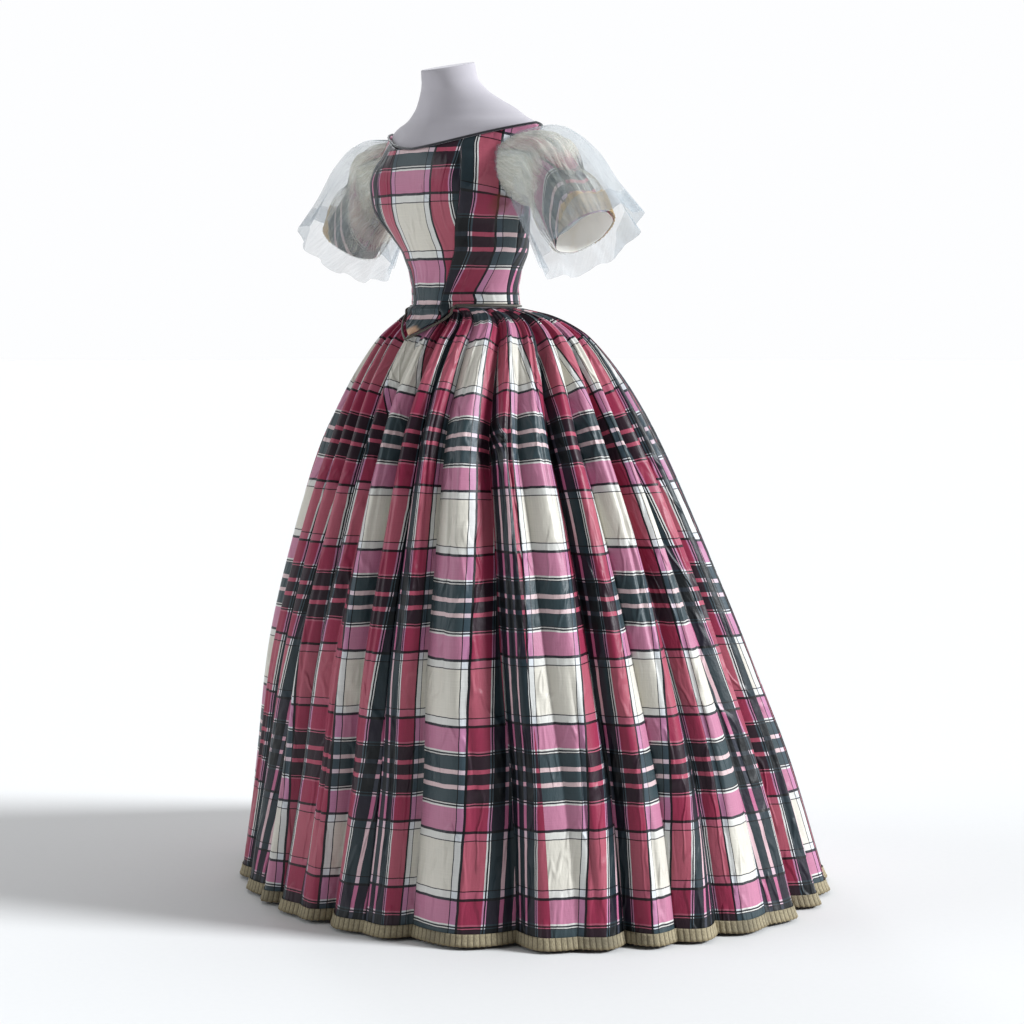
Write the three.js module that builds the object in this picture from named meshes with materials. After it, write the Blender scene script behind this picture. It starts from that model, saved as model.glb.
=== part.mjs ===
import * as THREE from 'three';

// Tartan ball gown worn on a limbless dress form.
// Millimetres, +Z up, the front of the gown faces -Y and the wearer's left is +X.
// The floor is Z = 0 and the whole part stands on the round base of the form.

// Walls and seams
const SILK_WALL = 1.5;
const GAUZE_WALL = 1.0;
const BRAID_WALL = 1.3;
const SEAM_GAP = 0.3;
const CORD_RADIUS = 2.0;
const CORD_DROP = 3.0;

// Where the waist stands over the floor plan, and the levels of the skirt
const WAIST_Y = -157;
const WAIST_Z = 1036;
const HIP_Z = 790;
const HEM_Z = 14;
const BRAID_TOP_Z = 25;
const BRAID_BOTTOM_Z = 5;
const POINT_Z = 983;
const POINT_SPREAD = 34;

// Base and pole of the dress form
const BASE_RADIUS = 180;
const BASE_THICKNESS = 6;
const POLE_RADIUS = 16;
const FORM_BOTTOM_Z = 850;
const FORM_INSET = 4.6;
const FORM_BACK_INSET = 5.6;
const FORM_SHOULDER_INSET = 9;
const FORM_SHOULDER_Z = 1200;
const CAP_TILT = 0.22;

// Armhole on the bodice, and the straight line that the sleeve follows down to its cuff
const ARMHOLE = { azimuth: 93, halfAngle: 22, height: 1266, halfHeight: 58 };
const SLEEVE_END = new THREE.Vector3(300, -10, 1133);
const SLEEVE_LINE = new THREE.Vector3(-0.616, 0, 0.788);
const SLEEVE_UPPER = new THREE.Vector3(0.788, 0, 0.616);
const FRILL_WAVES = 9;

// Crest sections of the skirt: reach to the side, to the front and to the back of a centre
// that lies behind the waist line
const SKIRT_SECTIONS = [
  { height: 1029.4, side: 97.6, front: 101, back: 96, centre: 3, round: 2 },
  { height: 1019, side: 130, front: 126, back: 124, centre: 27, round: 2 },
  { height: 1005, side: 156, front: 150, back: 148, centre: 39, round: 2 },
  { height: 982, side: 187, front: 181, back: 181, centre: 46, round: 2 },
  { height: 945, side: 218, front: 213, back: 212, centre: 51, round: 2 },
  { height: 888, side: 255, front: 253, back: 248, centre: 57, round: 2 },
  { height: 790, side: 310, front: 303, back: 285, centre: 66, round: 2 },
  { height: 640, side: 375, front: 361, back: 325, centre: 85, round: 2 },
  { height: 440, side: 445, front: 427, back: 383, centre: 114, round: 2 },
  { height: 230, side: 502, front: 482, back: 433, centre: 155, round: 2 },
  { height: HEM_Z, side: 553, front: 531, back: 475, centre: 184, round: 2 },
];

// Valleys between the pleats, in degrees round from the front: where each one lies at the
// hip and at the hem, and how deep it is there; five pleats make one breadth
const VALLEYS = [
  { hip: -20, hem: -35, hipDepth: 30, hemDepth: 32 },
  { hip: -13, hem: -23, hipDepth: 22, hemDepth: 16 },
  { hip: -4, hem: -16, hipDepth: 26, hemDepth: 28 },
  { hip: 3, hem: -7, hipDepth: 16, hemDepth: 7 },
  { hip: 11, hem: 0, hipDepth: 28, hemDepth: 34 },
  { hip: 19, hem: 10, hipDepth: 18, hemDepth: 9 },
  { hip: 27, hem: 19, hipDepth: 34, hemDepth: 30 },
  { hip: 43, hem: 39, hipDepth: 42, hemDepth: 46 },
  { hip: 53, hem: 50, hipDepth: 20, hemDepth: 9 },
  { hip: 65, hem: 59, hipDepth: 38, hemDepth: 36 },
  { hip: 76, hem: 68, hipDepth: 30, hemDepth: 20 },
  { hip: 87, hem: 77, hipDepth: 34, hemDepth: 30 },
  { hip: 95, hem: 88, hipDepth: 22, hemDepth: 12 },
  { hip: 104, hem: 100, hipDepth: 38, hemDepth: 52 },
  { hip: 113, hem: 110, hipDepth: 30, hemDepth: 30 },
  { hip: 122, hem: 121, hipDepth: 30, hemDepth: 22 },
  { hip: 132, hem: 131, hipDepth: 34, hemDepth: 34 },
  { hip: 142, hem: 141, hipDepth: 26, hemDepth: 16 },
  { hip: 152, hem: 152, hipDepth: 34, hemDepth: 36 },
  { hip: 162, hem: 162, hipDepth: 28, hemDepth: 20 },
  { hip: 171, hem: 172, hipDepth: 32, hemDepth: 34 },
  { hip: 181, hem: 182, hipDepth: 26, hemDepth: 24 },
  { hip: 193, hem: 192, hipDepth: 30, hemDepth: 22 },
  { hip: 205, hem: 203, hipDepth: 34, hemDepth: 34 },
  { hip: 216, hem: 214, hipDepth: 26, hemDepth: 20 },
  { hip: 227, hem: 225, hipDepth: 34, hemDepth: 36 },
  { hip: 238, hem: 236, hipDepth: 28, hemDepth: 18 },
  { hip: 249, hem: 246, hipDepth: 34, hemDepth: 34 },
  { hip: 260, hem: 255, hipDepth: 24, hemDepth: 18 },
  { hip: 271, hem: 264, hipDepth: 34, hemDepth: 40 },
  { hip: 283, hem: 273, hipDepth: 26, hemDepth: 14 },
  { hip: 295, hem: 283, hipDepth: 34, hemDepth: 36 },
  { hip: 307, hem: 292, hipDepth: 26, hemDepth: 16 },
  { hip: 319, hem: 303, hipDepth: 34, hemDepth: 38 },
  { hip: 331, hem: 314, hipDepth: 24, hemDepth: 12 },
];
const PLEATS_PER_BREADTH = 5;
const PLEAT_STEPS = [0, 0.22, 0.5, 0.78];
const BREADTHS = [
  'centre_front',
  'side_front_left',
  'side_back_left',
  'back_left',
  'back_right',
  'side_back_right',
  'side_front_right',
];
const WAIST_DEPTH = 3;
const WAIST_CROWDING = 0.72;
const CROWDING_FADE = 1.5;
const HIP_SIDE = 310;

// Sections of the bodice; below the waist the point lies on the front of the skirt
const BODICE_SECTIONS = [
  { height: 970, side: 203, front: 201, back: 195, centre: 48, round: 2 },
  { height: 982, side: 192, front: 186, back: 182, centre: 46, round: 2 },
  { height: 1005, side: 161, front: 154, back: 150, centre: 39, round: 2 },
  { height: 1019, side: 135, front: 130.5, back: 127, centre: 27, round: 2 },
  { height: 1028, side: 108, front: 113, back: 104, centre: 8, round: 2 },
  { height: WAIST_Z, side: 94, front: 98, back: 93, centre: 2, round: 2 },
  { height: 1060, side: 95, front: 94, back: 92, centre: -1, round: 2 },
  { height: 1090, side: 102, front: 95, back: 92, centre: -1, round: 2 },
  { height: 1120, side: 113, front: 105, back: 100, centre: 0, round: 2 },
  { height: 1150, side: 127, front: 109, back: 106, centre: -10, round: 2.1 },
  { height: 1180, side: 141, front: 111, back: 106, centre: -20, round: 2.5 },
  { height: 1208, side: 150, front: 111, back: 98, centre: -24, round: 2.9 },
  { height: 1240, side: 152, front: 112, back: 95, centre: -24, round: 3.1 },
  { height: 1266, side: 156, front: 110, back: 92, centre: -23, round: 2.6 },
  { height: 1295, side: 161, front: 106, back: 88, centre: -22, round: 1.75 },
  { height: 1318, side: 169, front: 99, back: 84, centre: -14, round: 1.55 },
  { height: 1340, side: 177, front: 90, back: 78, centre: -8, round: 1.45 },
];

// Princess seam: half width of the centre front panel, in degrees, by height
const PRINCESS = [
  { height: WAIST_Z, azimuth: 17 },
  { height: 1060, azimuth: 22 },
  { height: 1110, azimuth: 32 },
  { height: 1160, azimuth: 41 },
  { height: 1210, azimuth: 47.5 },
  { height: 1318, azimuth: 49 },
];
const PANEL_ROWS = [0, 0.06, 0.12, 0.22, 0.34, 0.46, 0.57, 0.62, 0.7, 0.78, 0.86, 0.93, 0.97, 1];

// Dress form outside the bodice: hips below, shoulders and neck above
const HIP_SECTIONS = [
  { height: FORM_BOTTOM_Z, side: 128, front: 112, back: 120, centre: 12, round: 2.2 },
  { height: 905, side: 126, front: 108, back: 116, centre: 10, round: 2.2 },
  { height: 955, side: 114, front: 98, back: 104, centre: 6, round: 2.1 },
  { height: 1000, side: 96, front: 89, back: 90, centre: 2, round: 2 },
  { height: 1024, side: 89, front: 89, back: 88, centre: 1, round: 2 },
];
const NECK_SECTIONS = [
  { height: 1342, side: 158, front: 86, back: 74, centre: -6, round: 1.5 },
  { height: 1353, side: 132, front: 84, back: 78, centre: -4, round: 1.5 },
  { height: 1369, side: 105, front: 80, back: 77, centre: -6, round: 1.55 },
  { height: 1386, side: 78, front: 67, back: 66, centre: -16, round: 1.8 },
  { height: 1402, side: 60, front: 53, back: 54, centre: -29, round: 2 },
  { height: 1419, side: 49, front: 47, back: 47, centre: -39, round: 2 },
  { height: 1441, side: 46, front: 46, back: 46, centre: -43, round: 2 },
];

// Sleeve layers, by distance up the sleeve line from its end: how far the section slants up
// at the shoulder, and its reach towards the shoulder, the underarm and to front and back
const SLEEVE_SECTIONS = [
  { along: 165, slant: 28, upper: 36, under: 60, breadth: 56 },
  { along: 120, slant: 4, upper: 47, under: 49, breadth: 48 },
  { along: 75, slant: 0, upper: 51, under: 50, breadth: 51 },
  { along: 24, slant: 0, upper: 53, under: 53, breadth: 53 },
];
const GAUZE_SECTIONS = [
  { along: 168, slant: 32, upper: 46, under: 68, breadth: 63 },
  { along: 146, slant: 14, upper: 58, under: 61, breadth: 61 },
  { along: 120, slant: 3, upper: 52, under: 54, breadth: 53 },
  { along: 92, slant: 0, upper: 62, under: 60, breadth: 62 },
  { along: 58, slant: 0, upper: 62, under: 61, breadth: 62 },
  { along: 24, slant: 0, upper: 57, under: 57, breadth: 57 },
];
const FRILL_SECTIONS = [
  { along: 172, slant: 34, upper: 58, under: 76, breadth: 74 },
  { along: 130, slant: 10, upper: 86, under: 76, breadth: 84 },
  { along: 70, slant: 0, upper: 88, under: 80, breadth: 86 },
  { along: 0, slant: 0, upper: 93, under: 88, breadth: 92 },
];

// Materials
const material = (color, roughness) => new THREE.MeshStandardMaterial({ color, roughness });
const TARTAN_SILK = material(0xb5475f, 0.45);
const PIPING_SILK = material(0x23242c, 0.5);
const KHAKI_BRAID = material(0xa38f6b, 0.9);
const IVORY_GAUZE = material(0xe6dcbb, 0.8);
const WHITE_ORGANZA = material(0xeef1f3, 0.7);
const FORM_COVER = material(0xc9c8d4, 0.85);
const STAND_STEEL = material(0xd8d8dc, 0.35);

const radians = (degrees) => (degrees * Math.PI) / 180;
const blend = (a, b, t) => a + (b - a) * t;
const ease = (low, high, value) => THREE.MathUtils.smoothstep(value, low, high);

// Row of a table at one value of its key, blended in a straight line
function rowAt(table, key, value) {
  const rising = table[0][key] < table[table.length - 1][key];
  const rows = rising ? table : [...table].reverse();
  let i = 0;
  while (i < rows.length - 2 && value > rows[i + 1][key]) i += 1;
  const a = rows[i];
  const b = rows[i + 1];
  const t = THREE.MathUtils.clamp((value - a[key]) / (b[key] - a[key]), 0, 1);
  const row = {};
  for (const name of Object.keys(a)) row[name] = blend(a[name], b[name], t);
  return row;
}

// Point of one section at an azimuth counted from the front towards the wearer's left
function sectionPoint(section, azimuth, grow = 0) {
  const s = Math.sin(radians(azimuth));
  const c = Math.cos(radians(azimuth));
  const side = section.side + grow;
  const reach = (c > 0 ? section.front : section.back) + grow;
  const power = c > 0 ? section.round : 2;
  const radius = (Math.abs(s / side) ** power + Math.abs(c / reach) ** power) ** (-1 / power);
  const y = WAIST_Y + section.centre - radius * c;
  return new THREE.Vector3(radius * s, y, section.height);
}

// Outward direction of a stack of sections
function sectionNormal(table, azimuth, height) {
  const at = (a, h) => sectionPoint(rowAt(table, 'height', h), a);
  const around = at(azimuth + 1, height).sub(at(azimuth - 1, height));
  const up = at(azimuth, height + 4).sub(at(azimuth, height - 4));
  return around.cross(up).normalize();
}

// Closed wall between an outer grid and the same grid moved inwards
function wallGeometry(outer, inner, wraps) {
  const rows = outer.length;
  const columns = outer[0].length;
  const positions = [];
  const index = [];
  for (const grid of [outer, inner]) {
    for (const row of grid) {
      for (const point of row) positions.push(point.x, point.y, point.z);
    }
  }
  const outerAt = (j, i) => j * columns + (i % columns);
  const innerAt = (j, i) => rows * columns + outerAt(j, i);
  const quad = (a, b, c, d) => index.push(a, b, c, a, c, d);
  const spans = wraps ? columns : columns - 1;
  for (let i = 0; i < spans; i += 1) {
    for (let j = 0; j < rows - 1; j += 1) {
      quad(outerAt(j, i), outerAt(j, i + 1), outerAt(j + 1, i + 1), outerAt(j + 1, i));
      index.push(innerAt(j, i), innerAt(j + 1, i + 1), innerAt(j, i + 1));
      index.push(innerAt(j, i), innerAt(j + 1, i), innerAt(j + 1, i + 1));
    }
    quad(outerAt(0, i + 1), outerAt(0, i), innerAt(0, i), innerAt(0, i + 1));
    const top = rows - 1;
    quad(outerAt(top, i), outerAt(top, i + 1), innerAt(top, i + 1), innerAt(top, i));
  }
  if (!wraps) {
    const last = columns - 1;
    for (let j = 0; j < rows - 1; j += 1) {
      quad(outerAt(j, 0), outerAt(j + 1, 0), innerAt(j + 1, 0), innerAt(j, 0));
      quad(outerAt(j + 1, last), outerAt(j, last), innerAt(j, last), innerAt(j + 1, last));
    }
  }
  const geometry = new THREE.BufferGeometry();
  geometry.setAttribute('position', new THREE.Float32BufferAttribute(positions, 3));
  geometry.setIndex(index);
  return geometry;
}

// Grid of points with their outward normals, from a surface given as a function of the
// column and row values; the normal is taken over a small step to both sides
function surfaceGrid(columnValues, rowValues, surface, step) {
  return rowValues.map((v) => columnValues.map((u) => {
    const around = surface(u + step.u, v).sub(surface(u - step.u, v));
    const up = surface(u, v + step.v).sub(surface(u, v - step.v));
    return { point: surface(u, v), normal: around.cross(up).normalize() };
  }));
}

// Both side edges of a grid drawn in by half the seam gap, square to the seam
function withSeamGap(grid) {
  const top = grid.length - 1;
  for (const [column, sense] of [[0, 1], [grid[0].length - 1, -1]]) {
    const seam = grid.map((row) => row[column].point.clone());
    grid.forEach((row, j) => {
      const up = seam[Math.min(j + 1, top)].clone().sub(seam[Math.max(j - 1, 0)]);
      const along = up.cross(row[column].normal).normalize();
      row[column].point.addScaledVector(along, (sense * SEAM_GAP) / 2);
    });
  }
  return grid;
}

const shifted = (grid, distance) => grid.map((row) => row.map(
  ({ point, normal }) => point.clone().addScaledVector(normal, distance),
));

const sequence = (count, from = 0, to = 1) => (
  Array.from({ length: count + 1 }, (unused, i) => blend(from, to, i / count))
);

function add(group, name, geometry, finish) {
  geometry.computeVertexNormals();
  const mesh = new THREE.Mesh(geometry, finish);
  mesh.name = name;
  group.add(mesh);
}

// Skirt

// Azimuth and depth of a valley at a height; the valleys crowd towards the back at the waist
function valleyAt(number, height) {
  const turns = Math.floor(number / VALLEYS.length);
  const valley = VALLEYS[number - turns * VALLEYS.length];
  const hip = valley.hip > 180 ? valley.hip - 360 : valley.hip;
  const crowded = 180 * Math.sign(hip) * (Math.abs(hip) / 180) ** WAIST_CROWDING;
  const waist = valley.hip > 180 ? crowded + 360 : crowded;
  const { side } = rowAt(SKIRT_SECTIONS, 'height', height);
  const inner = SKIRT_SECTIONS[0].side;
  const spread = THREE.MathUtils.clamp((side - inner) / (HIP_SIDE - inner), 0, 1);
  const below = THREE.MathUtils.clamp((HIP_Z - height) / (HIP_Z - HEM_Z), 0, 1);
  const upper = blend(valley.hip, waist, (1 - spread) ** CROWDING_FADE);
  const azimuth = height > HIP_Z ? upper : blend(valley.hip, valley.hem, below);
  const hipDepth = blend(WAIST_DEPTH, valley.hipDepth, spread ** 1.2);
  const depth = height > HIP_Z ? hipDepth : blend(valley.hipDepth, valley.hemDepth, below);
  return { azimuth: azimuth + 360 * turns, depth };
}

const flank = (t) => Math.max(0, 1 - t / 0.5) ** 1.6;

// Point of the outer face of the skirt; whole numbers of the pleat value are valleys
function skirtPoint(pleat, height) {
  const number = Math.floor(pleat);
  const t = pleat - number;
  const left = valleyAt(number, height);
  const right = valleyAt(number + 1, height);
  const azimuth = blend(left.azimuth, right.azimuth, t);
  const depth = left.depth * flank(t) + right.depth * flank(1 - t);
  const crest = sectionPoint(rowAt(SKIRT_SECTIONS, 'height', height), azimuth);
  const inward = sectionNormal(SKIRT_SECTIONS, azimuth, height).negate();
  inward.z *= ease(600, 950, height);
  return crest.addScaledVector(inward.normalize(), depth);
}

function breadthColumns(number) {
  const first = number * PLEATS_PER_BREADTH;
  const columns = [];
  for (let pleat = 0; pleat < PLEATS_PER_BREADTH; pleat += 1) {
    for (const step of PLEAT_STEPS) columns.push(first + pleat + step);
  }
  columns.push(first + PLEATS_PER_BREADTH);
  return columns;
}

const SKIRT_HEIGHTS = SKIRT_SECTIONS.map((section) => section.height).reverse();
const SKIRT_STEP = { u: 0.01, v: 2 };

function addSkirt(group) {
  BREADTHS.forEach((name, number) => {
    const columns = breadthColumns(number);
    const grid = withSeamGap(surfaceGrid(columns, SKIRT_HEIGHTS, skirtPoint, SKIRT_STEP));
    const geometry = wallGeometry(shifted(grid, 0), shifted(grid, -SILK_WALL), false);
    add(group, `skirt_${name}`, geometry, TARTAN_SILK);
  });
}

// Braid round the hem: the points of the silk moved out along the floor
function addBraid(group) {
  const columns = BREADTHS.flatMap((name, number) => breadthColumns(number).slice(0, -1));
  const upper = SKIRT_HEIGHTS[1];
  const grid = [BRAID_BOTTOM_Z, BRAID_TOP_Z].map((height) => columns.map((pleat) => {
    const foot = skirtPoint(pleat, HEM_Z);
    const slope = skirtPoint(pleat, upper).sub(foot).divideScalar(upper - HEM_Z);
    return foot.addScaledVector(slope, height - HEM_Z).setZ(height);
  }));
  const count = columns.length;
  const moved = (distance) => grid.map((row) => row.map((point, i) => {
    const before = point.clone().sub(row[(i + count - 1) % count]).setZ(0).normalize();
    const after = row[(i + 1) % count].clone().sub(point).setZ(0).normalize();
    const along = before.clone().add(after).normalize();
    const square = Math.max(0.55, along.dot(after));
    const out = new THREE.Vector3(along.y, -along.x, 0);
    return point.clone().addScaledVector(out, distance / square);
  }));
  const inside = SEAM_GAP;
  add(group, 'hem_braid', wallGeometry(moved(inside + BRAID_WALL), moved(inside), true), KHAKI_BRAID);
}

// Bodice

const bodicePoint = (azimuth, height) => (
  sectionPoint(rowAt(BODICE_SECTIONS, 'height', height), azimuth)
);

function neckHeight(azimuth) {
  const a = Math.abs(azimuth);
  return a < 90 ? blend(1295, 1336, (a / 90) ** 1.5) : blend(1336, 1318, ((a - 90) / 90) ** 0.8);
}

// Lower edge: level round the sides and back, falling to the point at the front
function waistHeight(azimuth) {
  const fall = Math.max(0, 1 - Math.abs(azimuth) / POINT_SPREAD);
  return WAIST_Z - (WAIST_Z - POINT_Z) * fall ** 1.15;
}

function sideSeam(height, towardsBack) {
  const off = (height - ARMHOLE.height) / ARMHOLE.halfHeight;
  const opening = ARMHOLE.halfAngle * Math.sqrt(Math.max(0, 1 - off * off));
  return ARMHOLE.azimuth + (towardsBack ? opening : -opening);
}

const panelHeight = (azimuth, v) => blend(waistHeight(azimuth), neckHeight(azimuth), v);

// Azimuth of a seam where it crosses one row; the seam is given by height, so it is
// approached in steps
function seamAzimuth(seam, v) {
  let height = panelHeight(60, v);
  for (let step = 0; step < 30; step += 1) {
    height = blend(height, panelHeight(seam(height), v), 0.5);
  }
  return seam(height);
}

// One panel: rows climb from the lower edge to the neckline, columns run between two seams
function bodicePanel(seamA, seamB, columnCount) {
  const surface = (u, v) => {
    const azimuth = blend(seamAzimuth(seamA, v), seamAzimuth(seamB, v), u);
    return bodicePoint(azimuth, panelHeight(azimuth, v));
  };
  return surfaceGrid(sequence(columnCount), PANEL_ROWS, surface, { u: 0.004, v: 0.004 });
}

const princess = (level) => rowAt(PRINCESS, 'height', level).azimuth;
const BODICE_PANELS = [
  ['back_right', () => -180, (h) => -sideSeam(h, true), 8],
  ['side_front_right', (h) => -sideSeam(h, false), (h) => -princess(h), 6],
  ['centre_front', (h) => -princess(h), princess, 8],
  ['side_front_left', princess, (h) => sideSeam(h, false), 6],
  ['back_left', (h) => sideSeam(h, true), () => 180, 8],
];

// Azimuths of the panel columns along the lower edge, once round
function lowerEdgeAzimuths() {
  return BODICE_PANELS.flatMap(([name, seamA, seamB, columnCount]) => (
    sequence(columnCount, seamAzimuth(seamA, 0), seamAzimuth(seamB, 0)).slice(0, -1)
  ));
}

function addBodice(group) {
  for (const [name, seamA, seamB, columnCount] of BODICE_PANELS) {
    const grid = withSeamGap(bodicePanel(seamA, seamB, columnCount));
    const geometry = wallGeometry(shifted(grid, 0), shifted(grid, -SILK_WALL), false);
    add(group, `bodice_${name}`, geometry, TARTAN_SILK);
  }
}

// Round cord through a closed run of points
function cordGeometry(points, radius, sides) {
  const count = points.length;
  const rings = points.map((point, i) => {
    const before = points[(i + count - 1) % count];
    const after = points[(i + 1) % count];
    const along = after.clone().sub(before).normalize();
    const out = new THREE.Vector3(along.y, -along.x, 0).normalize();
    const up = out.clone().cross(along).normalize();
    return Array.from({ length: sides }, (unused, k) => {
      const turn = (2 * Math.PI * k) / sides;
      return point.clone()
        .addScaledVector(out, radius * Math.cos(turn))
        .addScaledVector(up, radius * Math.sin(turn));
    });
  });
  const positions = rings.flat().flatMap((p) => [p.x, p.y, p.z]);
  const index = [];
  for (let i = 0; i < count; i += 1) {
    for (let k = 0; k < sides; k += 1) {
      const a = i * sides + k;
      const b = i * sides + ((k + 1) % sides);
      const c = ((i + 1) % count) * sides + ((k + 1) % sides);
      const d = ((i + 1) % count) * sides + k;
      index.push(a, d, b, b, d, c);
    }
  }
  const geometry = new THREE.BufferGeometry();
  geometry.setAttribute('position', new THREE.Float32BufferAttribute(positions, 3));
  geometry.setIndex(index);
  return geometry;
}

function addPipings(group) {
  const azimuths = Array.from({ length: 44 }, (unused, i) => -180 + (i * 360) / 44);
  const neck = azimuths.map((azimuth) => (
    bodicePoint(azimuth, neckHeight(azimuth)).add(new THREE.Vector3(0, 0, CORD_RADIUS + SEAM_GAP))
  ));
  add(group, 'neck_piping', cordGeometry(neck, CORD_RADIUS, 6), PIPING_SILK);
  const waist = lowerEdgeAzimuths().map((turned) => {
    const fall = Math.max(0, 1 - Math.abs(turned) / POINT_SPREAD);
    const onSkirt = Math.min(1, fall * 9);
    const height = waistHeight(turned) - blend(CORD_DROP, 7, Math.min(1, fall * 2));
    const level = rowAt(BODICE_SECTIONS, 'height', WAIST_Z);
    const sloped = rowAt(BODICE_SECTIONS, 'height', height);
    const section = { ...sloped };
    for (const name of ['side', 'front', 'back', 'centre']) {
      section[name] = blend(level[name], sloped[name], onSkirt);
    }
    return sectionPoint(section, turned, blend(1.0, -0.2, onSkirt));
  });
  add(group, 'waist_piping', cordGeometry(waist, CORD_RADIUS, 6), PIPING_SILK);
}

// Sleeves

// Loop round the armhole: at the turn 0 it is at the shoulder and at 90 in front
function armholeLoop(turn, grow, off) {
  const azimuth = ARMHOLE.azimuth - ARMHOLE.halfAngle * grow * Math.sin(radians(turn));
  const height = ARMHOLE.height + ARMHOLE.halfHeight * grow * Math.cos(radians(turn));
  const normal = sectionNormal(BODICE_SECTIONS, azimuth, height);
  return bodicePoint(azimuth, height).addScaledVector(normal, off);
}

function sleeveLoop(section, turn, wave) {
  const c = Math.cos(radians(turn));
  const s = Math.sin(radians(turn));
  const line = SLEEVE_END.clone().setY(SLEEVE_END.y + WAIST_Y);
  line.addScaledVector(SLEEVE_LINE, section.along + section.slant * c);
  const lift = (c > 0 ? section.upper : section.under) + wave;
  line.addScaledVector(SLEEVE_UPPER, lift * c);
  line.y -= (section.breadth + wave) * s;
  return line;
}

function sleeveGeometry(sections, options) {
  const { columns, grow, off, wall, waves, swing } = options;
  const rows = sections.length;
  const surface = (turn, v) => {
    if (v < 0) return surface(turn, 0).multiplyScalar(2).sub(surface(turn, -v));
    const j = Math.min(Math.floor(v), rows - 1);
    const t = v - j;
    const at = (k) => {
      if (k === 0) return armholeLoop(turn, grow, off);
      const wave = swing * (k / rows) ** 3 * Math.sin(radians(turn * waves + k * 9));
      return sleeveLoop(sections[k - 1], turn, wave);
    };
    return at(j).lerp(at(j + 1), t);
  };
  const turns = sequence(columns, 0, 360).slice(0, -1);
  const levels = sequence(rows, 0, rows);
  const grid = surfaceGrid(turns, levels, surface, { u: 3, v: 0.1 });
  for (const row of grid) for (const entry of row) entry.normal.negate();
  const outward = grid.map((row) => [...row].reverse());
  return wallGeometry(shifted(outward, 0), shifted(outward, -wall), true);
}

function mirrored(geometry) {
  const copy = geometry.clone().scale(-1, 1, 1);
  const index = copy.getIndex();
  for (let i = 0; i < index.count; i += 3) {
    const second = index.getX(i + 1);
    index.setX(i + 1, index.getX(i + 2));
    index.setX(i + 2, second);
  }
  return copy;
}

function addSleeves(group) {
  const layers = [
    ['sleeve', SLEEVE_SECTIONS, TARTAN_SILK,
      { columns: 20, grow: 0.97, off: 1.5, wall: 1.2, waves: 0, swing: 0 }],
    ['sleeve_gauze', GAUZE_SECTIONS, IVORY_GAUZE,
      { columns: 20, grow: 1.03, off: 1.2, wall: GAUZE_WALL, waves: 0, swing: 0 }],
    ['sleeve_frill', FRILL_SECTIONS, WHITE_ORGANZA,
      { columns: 36, grow: 1.08, off: 1.6, wall: GAUZE_WALL, waves: FRILL_WAVES, swing: 7 }],
  ];
  for (const [name, sections, finish, options] of layers) {
    const left = sleeveGeometry(sections, options);
    add(group, `${name}_left`, left, finish);
    add(group, `${name}_right`, mirrored(left), finish);
  }
}

// Dress form

function addForm(group) {
  const worn = [1036, 1060, 1090, 1120, 1150, 1180, 1208, 1240, 1266, 1295, 1318, 1332].map((height) => {
    const section = rowAt(BODICE_SECTIONS, 'height', height);
    const high = height > FORM_SHOULDER_Z;
    return {
      ...section,
      side: section.side - (high ? FORM_SHOULDER_INSET : FORM_INSET),
      front: section.front - FORM_INSET,
      back: section.back - (high ? FORM_SHOULDER_INSET : FORM_BACK_INSET),
    };
  });
  const sections = [...HIP_SECTIONS, ...worn, ...NECK_SECTIONS];
  const columns = 32;
  const positions = [];
  const index = [];
  const push = (p) => positions.push(p.x, p.y, p.z);
  sections.forEach((section, j) => {
    const tilt = j === sections.length - 1 ? CAP_TILT : 0;
    for (let i = 0; i < columns; i += 1) {
      const point = sectionPoint(section, (360 * i) / columns);
      point.z += tilt * (point.y - WAIST_Y - section.centre);
      push(point);
    }
  });
  const rows = sections.length;
  const at = (j, i) => j * columns + (i % columns);
  for (let j = 0; j < rows - 1; j += 1) {
    for (let i = 0; i < columns; i += 1) {
      index.push(at(j, i), at(j, i + 1), at(j + 1, i + 1));
      index.push(at(j, i), at(j + 1, i + 1), at(j + 1, i));
    }
  }
  for (let i = 1; i < columns - 1; i += 1) {
    index.push(at(0, 0), at(0, i + 1), at(0, i));
    index.push(at(rows - 1, 0), at(rows - 1, i), at(rows - 1, i + 1));
  }
  const geometry = new THREE.BufferGeometry();
  geometry.setAttribute('position', new THREE.Float32BufferAttribute(positions, 3));
  geometry.setIndex(index);
  add(group, 'dress_form', geometry, FORM_COVER);
}

function upright(radius, bottom, top, sides) {
  const geometry = new THREE.CylinderGeometry(radius, radius, top - bottom, sides, 1);
  geometry.rotateX(Math.PI / 2);
  geometry.translate(0, WAIST_Y, (top + bottom) / 2);
  return geometry;
}

function addStand(group) {
  add(group, 'form_pole', upright(POLE_RADIUS, BASE_THICKNESS, FORM_BOTTOM_Z, 24), STAND_STEEL);
  add(group, 'form_base', upright(BASE_RADIUS, 0, BASE_THICKNESS, 48), STAND_STEEL);
}

const gown = new THREE.Group();
gown.name = 'ball_gown_on_dress_form';
addSkirt(gown);
addBraid(gown);
addBodice(gown);
addPipings(gown);
addSleeves(gown);
addForm(gown);
addStand(gown);

export default gown;
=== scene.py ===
"""Looks of a tartan silk ball gown worn on a limbless dress form.

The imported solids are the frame. Every piece of cloth is a thin shell on the form of its
solid, with the finer folds, creases and gathers that the solid leaves out. Tables are in
millimetres, in the frame of the solids: +Z up, the front of the gown towards -Y and the
wearer's left towards +X. Meshes are in metres.
"""

import logging
import math
from dataclasses import dataclass
from enum import Enum
from typing import Any, Callable, Sequence

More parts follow.
